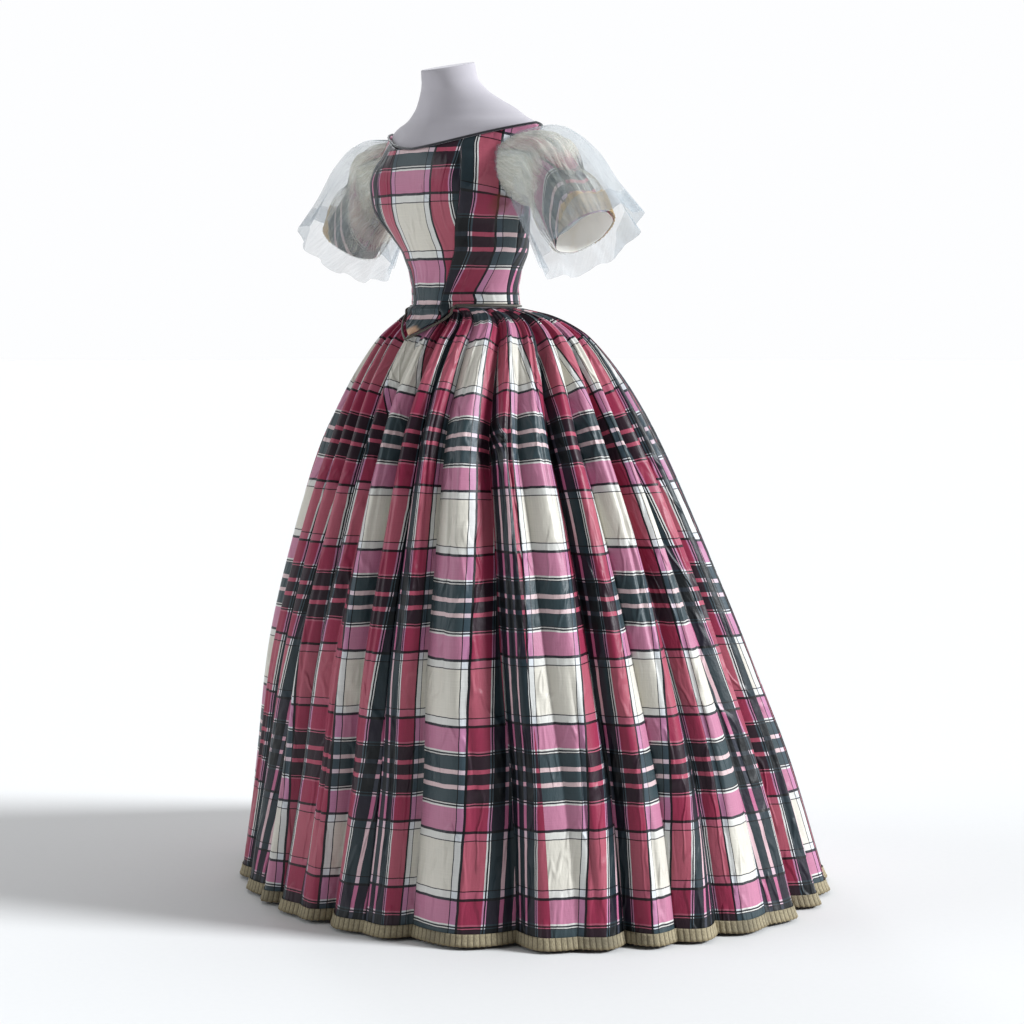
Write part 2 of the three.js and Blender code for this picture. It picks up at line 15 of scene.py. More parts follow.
import bmesh
import bpy
import numpy as np
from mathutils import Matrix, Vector


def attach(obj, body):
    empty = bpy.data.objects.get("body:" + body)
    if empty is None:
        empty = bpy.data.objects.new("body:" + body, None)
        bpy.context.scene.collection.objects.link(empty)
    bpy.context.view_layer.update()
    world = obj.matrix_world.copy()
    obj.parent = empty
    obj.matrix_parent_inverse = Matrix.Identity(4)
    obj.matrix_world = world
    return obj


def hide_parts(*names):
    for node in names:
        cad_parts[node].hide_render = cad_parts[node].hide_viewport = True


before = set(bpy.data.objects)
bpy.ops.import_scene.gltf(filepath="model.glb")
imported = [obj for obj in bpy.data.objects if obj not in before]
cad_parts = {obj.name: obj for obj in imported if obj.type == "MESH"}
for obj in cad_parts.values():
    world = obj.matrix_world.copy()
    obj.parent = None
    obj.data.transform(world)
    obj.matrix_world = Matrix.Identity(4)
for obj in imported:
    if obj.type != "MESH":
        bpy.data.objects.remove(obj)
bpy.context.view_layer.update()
LOG = logging.getLogger("ball_gown")

MM = 0.001
CLOTH_UV = "Cloth"
ELLIPSE = 2.0

WAIST_Y = -157.0
WAIST_Z = 1036.0
HIP_Z = 790.0
HEM_Z = 14.0
SKIRT_TOP_Z = 1029.4
TARTAN_REPEAT = 280.0
RIB_PITCH = 9.5


class Slot(Enum):
    """Names of the material slots for the new pieces."""

    TARTAN = "tartan_silk"
    PIPING = "piping_silk"
    BRAID = "khaki_braid"
    GAUZE = "ivory_gauze"
    ORGANZA = "white_organza"
    FORM = "form_cover"


class Side(Enum):
    """The wearer's two sides, with the sign of X on each."""

    LEFT = 1
    RIGHT = -1

    @property
    def word(self) -> str:
        """The side's name as the nodes have it."""
        return self.name.lower()


class Held(Enum):
    """Ways in which a sheet of cloth is held."""

    DRAPED = "draped"
    GATHERED = "gathered"


# Curves and sections


def monotone_slopes(places: np.ndarray, values: np.ndarray) -> np.ndarray:
    """Slopes of a smooth curve that doesn't overshoot its points.

    Args:
        places: Rising places of the points.
        values: Values at the places, along the first axis.

    Returns:
        The slope at each place, in the shape of the values.
    """
    step = np.diff(places).reshape((-1,) + (1,) * (values.ndim - 1))
    rise = np.diff(values, axis=0) / step
    product = rise[:-1] * rise[1:]
    total = np.where(product > 0, rise[:-1] + rise[1:], 1.0)
    inner = np.where(product > 0, 2.0 * product / total, 0.0)
    return np.concatenate([rise[:1], inner, rise[-1:]])


def smooth_curve(places: np.ndarray, values: np.ndarray, query: np.ndarray) -> np.ndarray:
    """A smooth curve through points, held level past its ends.

    Args:
        places: Rising places of the points.
        values: Values at the places, along the first axis.
        query: Places to read, of any shape.

    Returns:
        Values of shape query.shape + values.shape[1:].
    """
    slopes = monotone_slopes(places, values)
    query = np.clip(np.asarray(query, float), places[0], places[-1])
    i = np.clip(np.searchsorted(places, query, side="right") - 1, 0, len(places) - 2)
    span = places[i + 1] - places[i]
    t = (query - places[i]) / span
    more = (1,) * (values.ndim - 1)
    t, span = t.reshape(t.shape + more), span.reshape(span.shape + more)
    a, b = values[i], values[i + 1]
    leave, arrive = slopes[i] * span, slopes[i + 1] * span
    square, cube = t * t, t * t * t
    return (
        a * (2 * cube - 3 * square + 1)
        + b * (3 * square - 2 * cube)
        + leave * (cube - 2 * square + t)
        + arrive * (cube - square)
    )


def unit(vectors: np.ndarray) -> np.ndarray:
    """The vectors at length one."""
    return vectors / np.maximum(np.linalg.norm(vectors, axis=-1, keepdims=True), 1e-9)


def ease(low: float, high: float, value: np.ndarray) -> np.ndarray:
    """A smooth step from 0 at low to 1 at high."""
    t = np.clip((np.asarray(value, float) - low) / (high - low), 0.0, 1.0)
    return t * t * (3.0 - 2.0 * t)


def swell_at(value: np.ndarray, middle: float, width: float) -> np.ndarray:
    """A smooth swelling: 1 in the middle, and almost 0 two widths away from it."""
    return np.exp(-(((value - middle) / width) ** 2))


def run_lengths(points: np.ndarray, axis: int) -> np.ndarray:
    """Lengths walked along a grid of points.

    Args:
        points: Points of shape (rows, columns, 3).
        axis: 0 to walk up the rows, 1 to walk along the columns.

    Returns:
        Length from the first row or column to each point, of shape (rows, columns).
    """
    steps = np.linalg.norm(np.diff(points, axis=axis), axis=-1)
    start = np.zeros_like(np.take(steps, [0], axis=axis))
    return np.concatenate([start, np.cumsum(steps, axis=axis)], axis=axis)


def grid_normals(points: np.ndarray, wraps: bool) -> np.ndarray:
    """Normals of a grid whose columns run round and whose rows run up.

    Args:
        points: Points of shape (rows, columns, 3); a wrapped grid repeats its first column.
        wraps: Whether the grid closes on itself.

    Returns:
        Unit normals of the same shape.
    """
    around = np.gradient(points, axis=1)
    if wraps:
        closing = points[:, 1] - points[:, -2]
        around[:, 0] = closing
        around[:, -1] = closing
    return unit(np.cross(around, np.gradient(points, axis=0)))


@dataclass(frozen=True)
class Section:
    """A level cut: reaches to the side, front and back of a centre.

    The centre is counted back from that of the waist. The front is an ellipse at a round of 2,
    squarer above it and more pointed below it.
    """

    height: float
    side: float
    front: float
    back: float
    centre: float
    round: float = ELLIPSE


class SectionStack:
    """Level cuts through the gown, blended smoothly in between."""

    def __init__(self, sections: Sequence[Section]) -> None:
        """Sorts the sections by height."""
        rows = sorted(sections, key=lambda row: row.height)
        self.heights = np.array([row.height for row in rows])
        self.values = np.array([[r.side, r.front, r.back, r.centre, r.round] for r in rows])

    def point(self, azimuth: np.ndarray, height: np.ndarray, grow: float = 0.0) -> np.ndarray:
        """Points of the stack.

        Args:
            azimuth: Degrees from the front towards the wearer's left.
            height: Heights, of the same shape.
            grow: How far outside the sections the points lie.

        Returns:
            Points of shape azimuth.shape + (3,).
        """
        azimuth, height = np.broadcast_arrays(np.asarray(azimuth, float), height)
        table = smooth_curve(self.heights, self.values, height)
        side, front, back, centre, power = np.moveaxis(table, -1, 0)
        s, c = np.sin(np.radians(azimuth)), np.cos(np.radians(azimuth))
        reach = np.where(c > 0, front, back) + grow
        power = np.where(c > 0, power, ELLIPSE)
        total = np.abs(s / (side + grow)) ** power + np.abs(c / reach) ** power
        radius = total ** (-1.0 / power)
        return np.stack([radius * s, WAIST_Y + centre - radius * c, height], axis=-1)

    def normal(self, azimuth: np.ndarray, height: np.ndarray) -> np.ndarray:
        """Outward directions at points of the stack."""
        azimuth, height = np.broadcast_arrays(np.asarray(azimuth, float), height)
        around = self.point(azimuth + 1.0, height) - self.point(azimuth - 1.0, height)
        up = self.point(azimuth, height + 4.0) - self.point(azimuth, height - 4.0)
        return unit(np.cross(around, up))

    def level(self, height: float) -> Section:
        """The section at one height."""
        return Section(height, *smooth_curve(self.heights, self.values, np.array(height)))


SKIRT_STACK = SectionStack([
    Section(SKIRT_TOP_Z, 97.6, 101, 96, 3),
    Section(1019, 130, 126, 124, 27),
    Section(1005, 156, 150, 148, 39),
    Section(982, 187, 181, 181, 46),
    Section(945, 218, 213, 212, 51),
    Section(888, 255, 253, 248, 57),
    Section(790, 310, 303, 285, 66),
    Section(640, 375, 361, 325, 85),
    Section(440, 445, 427, 383, 114),
    Section(230, 502, 482, 433, 155),
    Section(HEM_Z, 553, 531, 475, 184),
])
BODICE_STACK = SectionStack([
    Section(970, 203, 201, 195, 48),
    Section(982, 192, 186, 182, 46),
    Section(1005, 161, 154, 150, 39),
    Section(1019, 135, 130.5, 127, 27),
    Section(1028, 108, 113, 104, 8),
    Section(WAIST_Z, 94, 98, 93, 2),
    Section(1060, 95, 94, 92, -1),
    Section(1090, 102, 95, 92, -1),
    Section(1120, 113, 105, 100, 0),
    Section(1150, 127, 109, 106, -10, 2.1),
    Section(1180, 141, 111, 106, -20, 2.5),
    Section(1208, 150, 111, 98, -24, 2.9),
    Section(1240, 152, 112, 95, -24, 3.1),
    Section(1266, 156, 110, 92, -23, 2.6),
    Section(1295, 161, 106, 88, -22, 1.75),
    Section(1318, 169, 99, 84, -14, 1.55),
    Section(1340, 177, 90, 78, -8, 1.45),
])


# Meshes


def new_mesh(name: str, shell: bmesh.types.BMesh) -> bpy.types.Mesh:
    """Turns a shell into a mesh and frees it."""
    mesh = bpy.data.meshes.new(name)
    shell.to_mesh(mesh)
    shell.free()
    return mesh


def new_object(name: str, data: bpy.types.ID) -> bpy.types.Object:
    """Makes an object and puts it in the scene."""
    made = bpy.data.objects.new(name, data)
    bpy.context.scene.collection.objects.link(made)
    return made


@dataclass(frozen=True)
class Sheet:
    """What a sheet of cloth was cut to, in metres, and how it is held."""

    flat: tuple[float, float]
    held: Held
    rests_on: tuple[str, ...]
    area: float | None = None


@dataclass
class GridPiece:
    """A piece of cloth: a flat grid that is carried to its place, then given its thickness.

    Points, cloth coordinates and thickness are in millimetres, the join distance in metres.
    """

    name: str
    nodes: tuple[str, ...]
    slot: Slot
    points: np.ndarray
    cloth: np.ndarray
    wraps: bool = False
    thickness: float = 0.9
    sheet: Sheet | None = None
    join_distance: float = 2e-5

    def build(
        self, finish: bpy.types.Material, lining: bpy.types.Material | None = None
    ) -> bpy.types.Object:
        """Makes the piece's object.

        Args:
            finish: The material of the piece.
            lining: The material of its inner face, if that is another.

        Returns:
            The object, riding on the root body in place of its nodes.
        """
        rows, columns = self.points.shape[:2]
        shell = bmesh.new()
        bmesh.ops.create_grid(shell, x_segments=columns - 1, y_segments=rows - 1, size=1.0)
        mesh = new_mesh(self.name, shell)
        i, j = self._places(mesh, rows, columns)
        mesh.vertices.foreach_set("co", (self.points[j, i] * MM).astype(np.float32).ravel())
        self._write_cloth(mesh, i, j)
        if self.wraps:
            self._close(mesh)
        for face in mesh.polygons:
            face.use_smooth = True
        mesh.materials.append(finish)
        piece = new_object(self.name, mesh)
        if self.thickness > 0:
            wall = piece.modifiers.new("Wall", "SOLIDIFY")
            wall.thickness = self.thickness * MM
            wall.offset = -1.0
            if lining is not None:
                mesh.materials.append(lining)
                wall.material_offset = 1
        install(piece, self.nodes)
        return piece

    @staticmethod
    def _places(mesh: bpy.types.Mesh, rows: int, columns: int) -> tuple[np.ndarray, np.ndarray]:
        """Column and row numbers of the vertices of a fresh grid."""
        flat = np.zeros(len(mesh.vertices) * 3, np.float32)
        mesh.vertices.foreach_get("co", flat)
        flat = flat.reshape(-1, 3)
        i = np.rint((flat[:, 0] + 1.0) / 2.0 * (columns - 1)).astype(int)
        j = np.rint((flat[:, 1] + 1.0) / 2.0 * (rows - 1)).astype(int)
        return i, j

    def _write_cloth(self, mesh: bpy.types.Mesh, i: np.ndarray, j: np.ndarray) -> None:
        """Writes the cloth's own coordinates, in metres, as a UV map.

        The coordinates have shape (rows, columns, 2), or (rows, spans, 2, 2) where the cloth
        jumps between columns: the left and right edge of each span between two columns.
        """
        layer = mesh.uv_layers.new(name=CLOTH_UV)
        corner = np.zeros(len(mesh.loops), int)
        mesh.loops.foreach_get("vertex_index", corner)
        column, row = i[corner], j[corner]
        if self.cloth.ndim == 3:
            values = self.cloth[row, column]
        else:
            span = column.reshape(-1, 4).min(axis=1).repeat(4)
            values = self.cloth[row, span, column - span]
        layer.data.foreach_set("uv", (values * MM).astype(np.float32).ravel())

    def _close(self, mesh: bpy.types.Mesh) -> None:
        """Joins the first and last column of a wrapped grid, and its poles."""
        shell = bmesh.new()
        shell.from_mesh(mesh)
        bmesh.ops.remove_doubles(shell, verts=shell.verts, dist=self.join_distance)
        shell.to_mesh(mesh)
        shell.free()


def install(
    piece: bpy.types.Object, nodes: tuple[str, ...]
) -> None:
    """Sets a piece on the frame.

    Args:
        piece: The finished object.
        nodes: The nodes that it stands for.
    """
    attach(piece, "root")
    if nodes:
        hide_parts(*nodes)
    LOG.info("%s: %d faces", piece.name, len(piece.data.polygons))


# Shader boards


class Sock:
    """A node socket that takes part in sums."""

    def __init__(self, board: "Board", socket: bpy.types.NodeSocket) -> None:
        """Keeps the socket and the board that it is on."""
        self.board = board
        self.socket = socket

    def _sum(self, operation: str, *values: "Sock | float") -> "Sock":
        """One Math node over this socket's board."""
        node = self.board.node("ShaderNodeMath", {"operation": operation}, dict(enumerate(values)))
        return Sock(self.board, node.outputs[0])

    def __add__(self, other: "Sock | float") -> "Sock":
        """This plus other."""
        return self._sum("ADD", self, other)

    def __radd__(self, other: float) -> "Sock":
        """Other plus this."""
        return self._sum("ADD", other, self)

    def __sub__(self, other: "Sock | float") -> "Sock":
        """This less other."""
        return self._sum("SUBTRACT", self, other)

    def __rsub__(self, other: float) -> "Sock":
        """Other less this."""
        return self._sum("SUBTRACT", other, self)

    def __mul__(self, other: "Sock | float") -> "Sock":
        """This times other."""
        return self._sum("MULTIPLY", self, other)

    def __truediv__(self, other: "Sock | float") -> "Sock":
        """This over other."""
        return self._sum("DIVIDE", self, other)

    def fraction(self) -> "Sock":
        """The part after the decimal point."""
        return self._sum("FRACT", self)

    def size(self) -> "Sock":
        """The value without its sign."""
        return self._sum("ABSOLUTE", self)

    def step(self, low: float, high: float) -> "Sock":
        """A smooth step from 0 at low to 1 at high."""
        settings = {"interpolation_type": "SMOOTHSTEP"}
        values = {"Value": self, "From Min": low, "From Max": high}
        return Sock(self.board, self.board.node("ShaderNodeMapRange", settings, values).outputs[0])


Colour = tuple[float, float, float]


def linear(red: int, green: int, blue: int) -> Colour:
    """A colour given as it shows on a screen, 0 to 255, in linear light."""
    shares = (value / 255.0 for value in (red, green, blue))
    return tuple(s / 12.92 if s <= 0.04045 else ((s + 0.055) / 1.055) ** 2.4 for s in shares)


class Board:
    """The nodes of one material."""

    def __init__(self, name: str) -> None:
        """Starts a material with a Principled shader."""
        self.material = bpy.data.materials.new(name)
        self.material.use_nodes = True
        self.tree = self.material.node_tree
        self.tree.nodes.clear()
        self.shader = self.tree.nodes.new("ShaderNodeBsdfPrincipled")
        output = self.tree.nodes.new("ShaderNodeOutputMaterial")
        self.tree.links.new(self.shader.outputs[0], output.inputs["Surface"])

    def node(self, kind: str, settings: dict, inputs: dict) -> bpy.types.Node:
        """Adds a node.

        Args:
            kind: The node's type.
            settings: Its properties; "stops" and "interpolation" are those of a colour ramp.
            inputs: Values or socks by socket name or number.

        Returns:
            The node.
        """
        made = self.tree.nodes.new(kind)
        for key, value in settings.items():
            if key == "stops":
                self._set_stops(made.color_ramp, value)
            elif key == "interpolation":
                made.color_ramp.interpolation = value
            else:
                setattr(made, key, value)
        for key, value in inputs.items():
            if isinstance(value, Sock):
                self.tree.links.new(value.socket, made.inputs[key])
            else:
                made.inputs[key].default_value = value
        return made

    @staticmethod
    def _set_stops(ramp: bpy.types.ColorRamp, stops: list[tuple[float, Colour]]) -> None:
        """Sets the stops of a colour ramp."""
        while len(ramp.elements) < len(stops):
            ramp.elements.new(1.0)
        for element, (place, colour) in zip(ramp.elements, stops):
            element.position = place
            element.color = (*colour, 1.0)

    def sock(self, node: bpy.types.Node, output: str | int = 0) -> Sock:
        """One output of a node."""
        return Sock(self, node.outputs[output])

    def cloth(self) -> tuple[Sock, Sock]:
        """The cloth's own two coordinates, in metres."""
        place = self.node("ShaderNodeUVMap", {"uv_map": CLOTH_UV}, {})
        split = self.node("ShaderNodeSeparateXYZ", {}, {0: self.sock(place)})
        return self.sock(split, 0), self.sock(split, 1)

    def object_place(self) -> Sock:
        """The place on the whole object, in metres."""
        return self.sock(self.node("ShaderNodeTexCoord", {}, {}), "Object")

    def joined(self, x: Sock | float, y: Sock | float, z: Sock | float = 0.0) -> Sock:
        """A vector from three numbers."""
        return self.sock(self.node("ShaderNodeCombineXYZ", {}, {0: x, 1: y, 2: z}))

    def noise(self, place: Sock, scale: float, detail: float = 3.0, rough: float = 0.5) -> Sock:
        """Noise from 0 to 1 over a place."""
        values = {"Vector": place, "Scale": scale, "Detail": detail, "Roughness": rough}
        return self.sock(self.node("ShaderNodeTexNoise", {}, values), 0)

    def mix(
        self, a: Sock | Colour, b: Sock | Colour, share: Sock | float, way: str = "MIX"
    ) -> Sock:
        """Two colours mixed.

        Args:
            a: The colour at a share of 0.
            b: The colour at a share of 1.
            share: How much of b.
            way: The blend type.

        Returns:
            The mixed colour.
        """
        ends = [x if isinstance(x, Sock) else (*x, 1.0) for x in (a, b)]
        settings = {"data_type": "RGBA", "blend_type": way}
        node = self.node("ShaderNodeMix", settings, {0: share, 6: ends[0], 7: ends[1]})
        return self.sock(node, 2)

    def ramp(self, value: Sock, stops: list[tuple[float, Colour]], interpolation: str) -> Sock:
        """A colour read from stops."""
        settings = {"stops": stops, "interpolation": interpolation}
        return self.sock(self.node("ShaderNodeValToRGB", settings, {0: value}), 0)

    def relief(self, height: Sock, strength: float, distance: float) -> Sock:
        """A normal from a height, with its distance in metres."""
        values = {"Height": height, "Strength": strength, "Distance": distance}
        return self.sock(self.node("ShaderNodeBump", {}, values))

    def veil(self, cover: Sock, glow: Colour, share: float) -> None:
        """Makes the surface partly see-through, and lets light through its threads.

        Args:
            cover: How much of the surface the threads cover.
            glow: The colour of the light that comes through them.
            share: How much of the threads' light that is.
        """
        through = self.node("ShaderNodeBsdfTranslucent", {}, {"Color": (*glow, 1.0)})
        shine = Sock(self, self.shader.outputs[0])
        lit = self.node("ShaderNodeMixShader", {}, {0: share, 1: shine, 2: self.sock(through)})
        clear = self.sock(self.node("ShaderNodeBsdfTransparent", {}, {}))
        veiled = self.node("ShaderNodeMixShader", {}, {0: cover, 1: clear, 2: self.sock(lit)})
        output = self.tree.get_output_node("ALL")
        self.tree.links.new(veiled.outputs[0], output.inputs["Surface"])

    def dress(self, **inputs: Sock | float | Colour) -> bpy.types.Material:
        """Sets sockets of the Principled shader, with _ for a space in a name.

        Returns:
            The finished material.
        """
        for key, value in inputs.items():
            socket = self.shader.inputs[key.replace("_", " ")]
            if isinstance(value, Sock):
                self.tree.links.new(value.socket, socket)
            elif isinstance(value, tuple):
                socket.default_value = (*value, 1.0) if len(socket.default_value) == 4 else value
            else:
                socket.default_value = value
        return self.material


# Finishes


class Yarn(Enum):
    """Colours of the silk yarns; the weft has a pinker madder where the warp has crimson."""

    CREAM = linear(241, 236, 223)
    WHITE = linear(242, 247, 252)
    BLACK = (0.0006, 0.0006, 0.0012)
    CRIMSON = linear(162, 46, 68)
    MADDER = linear(175, 65, 115)
    GREEN = (0.0011, 0.0034, 0.0055)
    ROSE = linear(238, 180, 198)


@dataclass(frozen=True)
class Stripe:
    """A stripe of the sett: it starts this far from the middle of the cream."""

    start: float
    yarn: Yarn


SETT = (
    Stripe(0, Yarn.CREAM),
    Stripe(39, Yarn.BLACK),
    Stripe(41, Yarn.WHITE),
    Stripe(51.5, Yarn.BLACK),
    Stripe(56, Yarn.CRIMSON),
    Stripe(94, Yarn.WHITE),
    Stripe(96.5, Yarn.BLACK),
    Stripe(99, Yarn.WHITE),
    Stripe(101, Yarn.BLACK),
    Stripe(102.5, Yarn.GREEN),
    Stripe(124, Yarn.ROSE),
    Stripe(131, Yarn.GREEN),
)


@dataclass(frozen=True)
class Stain:
    """A coloured place on the cloth, in millimetres on the object: for stains and painted shade.
    """

    place: tuple[float, float, float]
    reach: float
    colour: Colour
    weight: float


@dataclass(frozen=True)
class TartanSilk:
    """Crisp tartan taffeta.

    The wander of the stripes is in metres. The cloth is darkest where the slubs of the warp,
    those of the weft and the fading add nothing to its light.
    """

    name: str = "Tartan silk"
    roughness: float = 0.43
    sheen: float = 0.03
    specular: float = 0.28
    warp_share: float = 0.57
    wander: float = 0.004
    darkest: float = 0.44
    slub_light: float = 0.18
    cross_light: float = 0.17
    fade_light: float = 0.14
    stains_and_shade: tuple[Stain, ...] = ()

    def yarn_ramp(self, board: Board, place: Sock, share: float, red: Yarn) -> Sock:
        """The yarn at a place across the sett.

        Args:
            board: The nodes to add to.
            place: Distance across the cloth, in metres.
            share: How much of the face this yarn makes up.
            red: The yarn of the crimson stripes.

        Returns:
            The yarn's colour to the power of its share.
        """
        across = ((place / (TARTAN_REPEAT * MM) + 0.5).fraction() - 0.5).size() * 2.0
        stops = []
        for stripe in SETT:
            yarn = red if stripe.yarn is Yarn.CRIMSON else stripe.yarn
            stops.append((stripe.start * 2 / TARTAN_REPEAT, tuple(c**share for c in yarn.value)))
        return board.ramp(across, stops, "CONSTANT")

    def material(self) -> bpy.types.Material:
        """Builds the finish.

        Returns:
            The material, which reads the piece's own cloth coordinates.
        """
        board = Board(self.name)
        u, v = board.cloth()
        place = board.object_place()
        off = (board.noise(board.joined(u, v), 22.0, 2.0) - 0.5) * self.wander
        warp = self.yarn_ramp(board, u + off, self.warp_share, Yarn.CRIMSON)
        weft = self.yarn_ramp(board, v + off, 1.0 - self.warp_share, Yarn.MADDER)
        woven = board.mix(warp, weft, 1.0, "MULTIPLY")
        slub = board.noise(board.joined(u * 900.0, v * 16.0), 1.0, 2.0)
        cross = board.noise(board.joined(u * 14.0, v * 1100.0), 1.0, 2.0)
        fade = board.noise(board.joined(u, v), 7.0, 3.0)
        level = self.darkest + slub * self.slub_light + cross * self.cross_light
        level = level + fade * self.fade_light
        shade = board.joined(level, level, level)
        colour = board.mix(woven, shade, 1.0, "MULTIPLY")
        # Stains, and the painted shade under the arm, go over the woven colour.
        for stain in self.stains_and_shade:
            colour = self.marked(board, colour, place, stain)
        crumple = board.noise(board.joined(u, v * 0.45), 42.0, 4.0, 0.55)
        crease = 1.0 - (board.noise(board.joined(u, v * 0.35, 3.0), 17.0, 2.0) - 0.5).size() * 9.0
        folded = crease.step(0.55, 1.0)
        normal = board.relief(crumple * 0.6 + folded * 0.4 + (slub + cross) * 0.03, 0.7, 0.005)
        return board.dress(
            Base_Color=colour,
            Roughness=self.roughness - 0.07 + slub * 0.14,
            Normal=normal,
            Sheen_Weight=self.sheen,
            Sheen_Roughness=0.35,
            Specular_IOR_Level=self.specular,
        )

    @staticmethod
    def marked(board: Board, colour: Sock, place: Sock, stain: Stain) -> Sock:
        """The colour with one stain, or one patch of painted shade, laid on it."""
        centre = tuple(value * MM for value in stain.place)
        away = board.node("ShaderNodeVectorMath", {"operation": "DISTANCE"}, {0: place, 1: centre})
        ragged = (board.noise(place, 60.0, 3.0) - 0.5) * (0.5 * stain.reach * MM)
        distance = board.sock(away, "Value") + ragged
        share = (1.0 - distance.step(0.55 * stain.reach * MM, stain.reach * MM)) * stain.weight
        return board.mix(colour, stain.colour, share)


@dataclass(frozen=True)
class CordSilk:
    """Dark silk wound over a cord, with so many turns to a metre."""

    name: str
    colour: Colour
    turns: float = 420.0
    slant: float = 0.6

    def material(self) -> bpy.types.Material:
        """Builds the finish, with the slant of the winding as relief."""
        board = Board(self.name)
        u, v = board.cloth()
        wound = ((u + v * self.slant) * self.turns).fraction()
        thread = board.noise(board.joined(u * 300.0, v * 300.0), 1.0, 3.0)
        lighter = tuple(min(1.0, value * 2.4 + 0.01) for value in self.colour)
        return board.dress(
            Base_Color=board.mix(self.colour, lighter, thread.step(0.4, 0.9)),
            Roughness=0.42 + thread * 0.16,
            Normal=board.relief((wound - 0.5).size() + thread * 0.3, 0.5, 0.0004),
            Sheen_Weight=0.2,
        )


@dataclass(frozen=True)
class RibbedBraid:
    """Matt khaki wool braid."""

    name: str = "Khaki braid"
    dusty_edge: float = 7.0

    def material(self) -> bpy.types.Material:
        """Builds the finish: painted shade between the ribs, darker along the worn lower edge."""
        board = Board(self.name)
        u, v = board.cloth()
        fibre = board.noise(board.joined(u * 700.0, v * 240.0), 1.0, 4.0, 0.65)
        worn = board.noise(board.joined(u, v), 9.0, 3.0)
        rib = ((u / (RIB_PITCH * MM)).fraction() - 0.5).size() * 2.0
        base = board.mix(linear(132, 122, 98), linear(176, 165, 138), fibre.step(0.25, 0.75))
        tired = board.mix(base, linear(88, 84, 74), worn.step(0.42, 0.72) * 0.6)
        # Painted shade: the colour darkens in the grooves between the ribs.
        shade = board.mix(tired, linear(62, 54, 42), rib.step(0.62, 1.0) * 0.75)
        edge = 1.0 - v.step(0.0, self.dusty_edge * MM)
        dusty = board.mix(shade, linear(116, 101, 74), edge * 0.5)
        return board.dress(
            Base_Color=dusty,
            Roughness=0.86 + fibre * 0.1,
            Normal=board.relief(fibre, 0.8, 0.0012),
            Specular_IOR_Level=0.2,
        )


@dataclass(frozen=True)
class SheerCloth:
    """A see-through cloth: threads, thicker patches and a hem along its end.

    Below the place where it is drawn tight it lies thinner, by the thinning. Lengths down the
    cloth are in millimetres.
    """

    name: str
    tint: Colour
    hem_tint: Colour
    cover: float
    patchy: float
    thread: float
    hem_start: float
    hem_cover: float
    glow: float = 0.5
    drawn_at: float = 84.0
    drawn_band: float = 34.0
    thinning: float = 0.0
    least_cover: float = 0.04
    hem_blur: float = 0.8
    paler: float = 1.12
    roughness: float = 0.55
    sheen: float = 0.4

    def material(self) -> bpy.types.Material:
        """Builds the finish; the second cloth coordinate runs down to the free end."""
        board = Board(self.name)
        u, v = board.cloth()
        place = board.object_place()
        streak = board.noise(board.joined(u * 260.0, v * 18.0), 1.0, 3.0, 0.6)
        patch = board.noise(place, 24.0, 3.0)
        hem = self.starting(v, self.hem_start - self.hem_blur, 2 * self.hem_blur)
        uneven = (streak - 0.5) * self.thread + (patch - 0.5) * self.patchy
        below = self.starting(v, self.drawn_at, self.drawn_band) - hem
        alpha = self.cover + uneven + hem * (self.hem_cover - self.cover) - below * self.thinning
        clear = board.node("ShaderNodeClamp", {}, {0: alpha, 1: self.least_cover, 2: 1.0})
        pale = tuple(min(1.0, value * self.paler) for value in self.tint)
        colour = board.mix(self.tint, pale, streak.step(0.4, 0.7))
        board.veil(board.sock(clear), pale, self.glow)
        return board.dress(
            Base_Color=board.mix(colour, self.hem_tint, hem),
            Roughness=self.roughness + (streak - 0.5) * 0.2,
            Normal=board.relief(streak + patch * 0.6, 0.5, 0.0016),
            Sheen_Weight=self.sheen,
            Sheen_Roughness=0.4,
            Specular_IOR_Level=0.3,
        )

    @staticmethod
    def starting(down: Sock, place: float, band: float) -> Sock:
        """A step from 0 to 1 that starts at a place down the cloth and takes a band."""
        return down.step(place * MM, (place + band) * MM)


@dataclass(frozen=True)
class CottonLining:
    """Fine ivory cotton inside the sleeves."""

    name: str = "Cotton lining"

    def material(self) -> bpy.types.Material:
        """Builds the finish: a plain weave with faint wear."""
        board = Board(self.name)
        u, v = board.cloth()
        weave = board.noise(board.joined(u * 1200.0, v * 1200.0), 1.0, 2.0)
        worn = board.noise(board.joined(u, v), 18.0, 3.0)
        tone = board.mix(linear(250, 248, 243), linear(236, 226, 206), worn.step(0.45, 0.75))
        return board.dress(
            Base_Color=board.mix(tone, linear(222, 214, 196), weave.step(0.5, 0.9) * 0.4),
            Roughness=0.8 + weave * 0.1,
            Normal=board.relief(weave, 0.4, 0.0004),
            Sheen_Weight=0.3,
        )


@dataclass(frozen=True)
class FormCover:
    """Pale lavender grey jersey drawn over the form."""

    name: str = "Form cover"

    def material(self) -> bpy.types.Material:
        """Builds the finish: fine knit grain and a faint unevenness of tone."""
        board = Board(self.name)
        place = board.object_place()
        grain = board.noise(place, 1400.0, 2.0)
        tone = board.noise(place, 9.0, 2.0)
        colour = board.mix(linear(168, 164, 170), linear(180, 176, 182), tone.step(0.3, 0.7))
        fine = board.mix(colour, linear(146, 142, 152), grain.step(0.5, 0.85) * 0.35)
        return board.dress(
            Base_Color=fine,
            Roughness=0.78 + grain * 0.12,
            Normal=board.relief(grain, 0.35, 0.0004),
            Sheen_Weight=0.25,
            Specular_IOR_Level=0.25,
        )


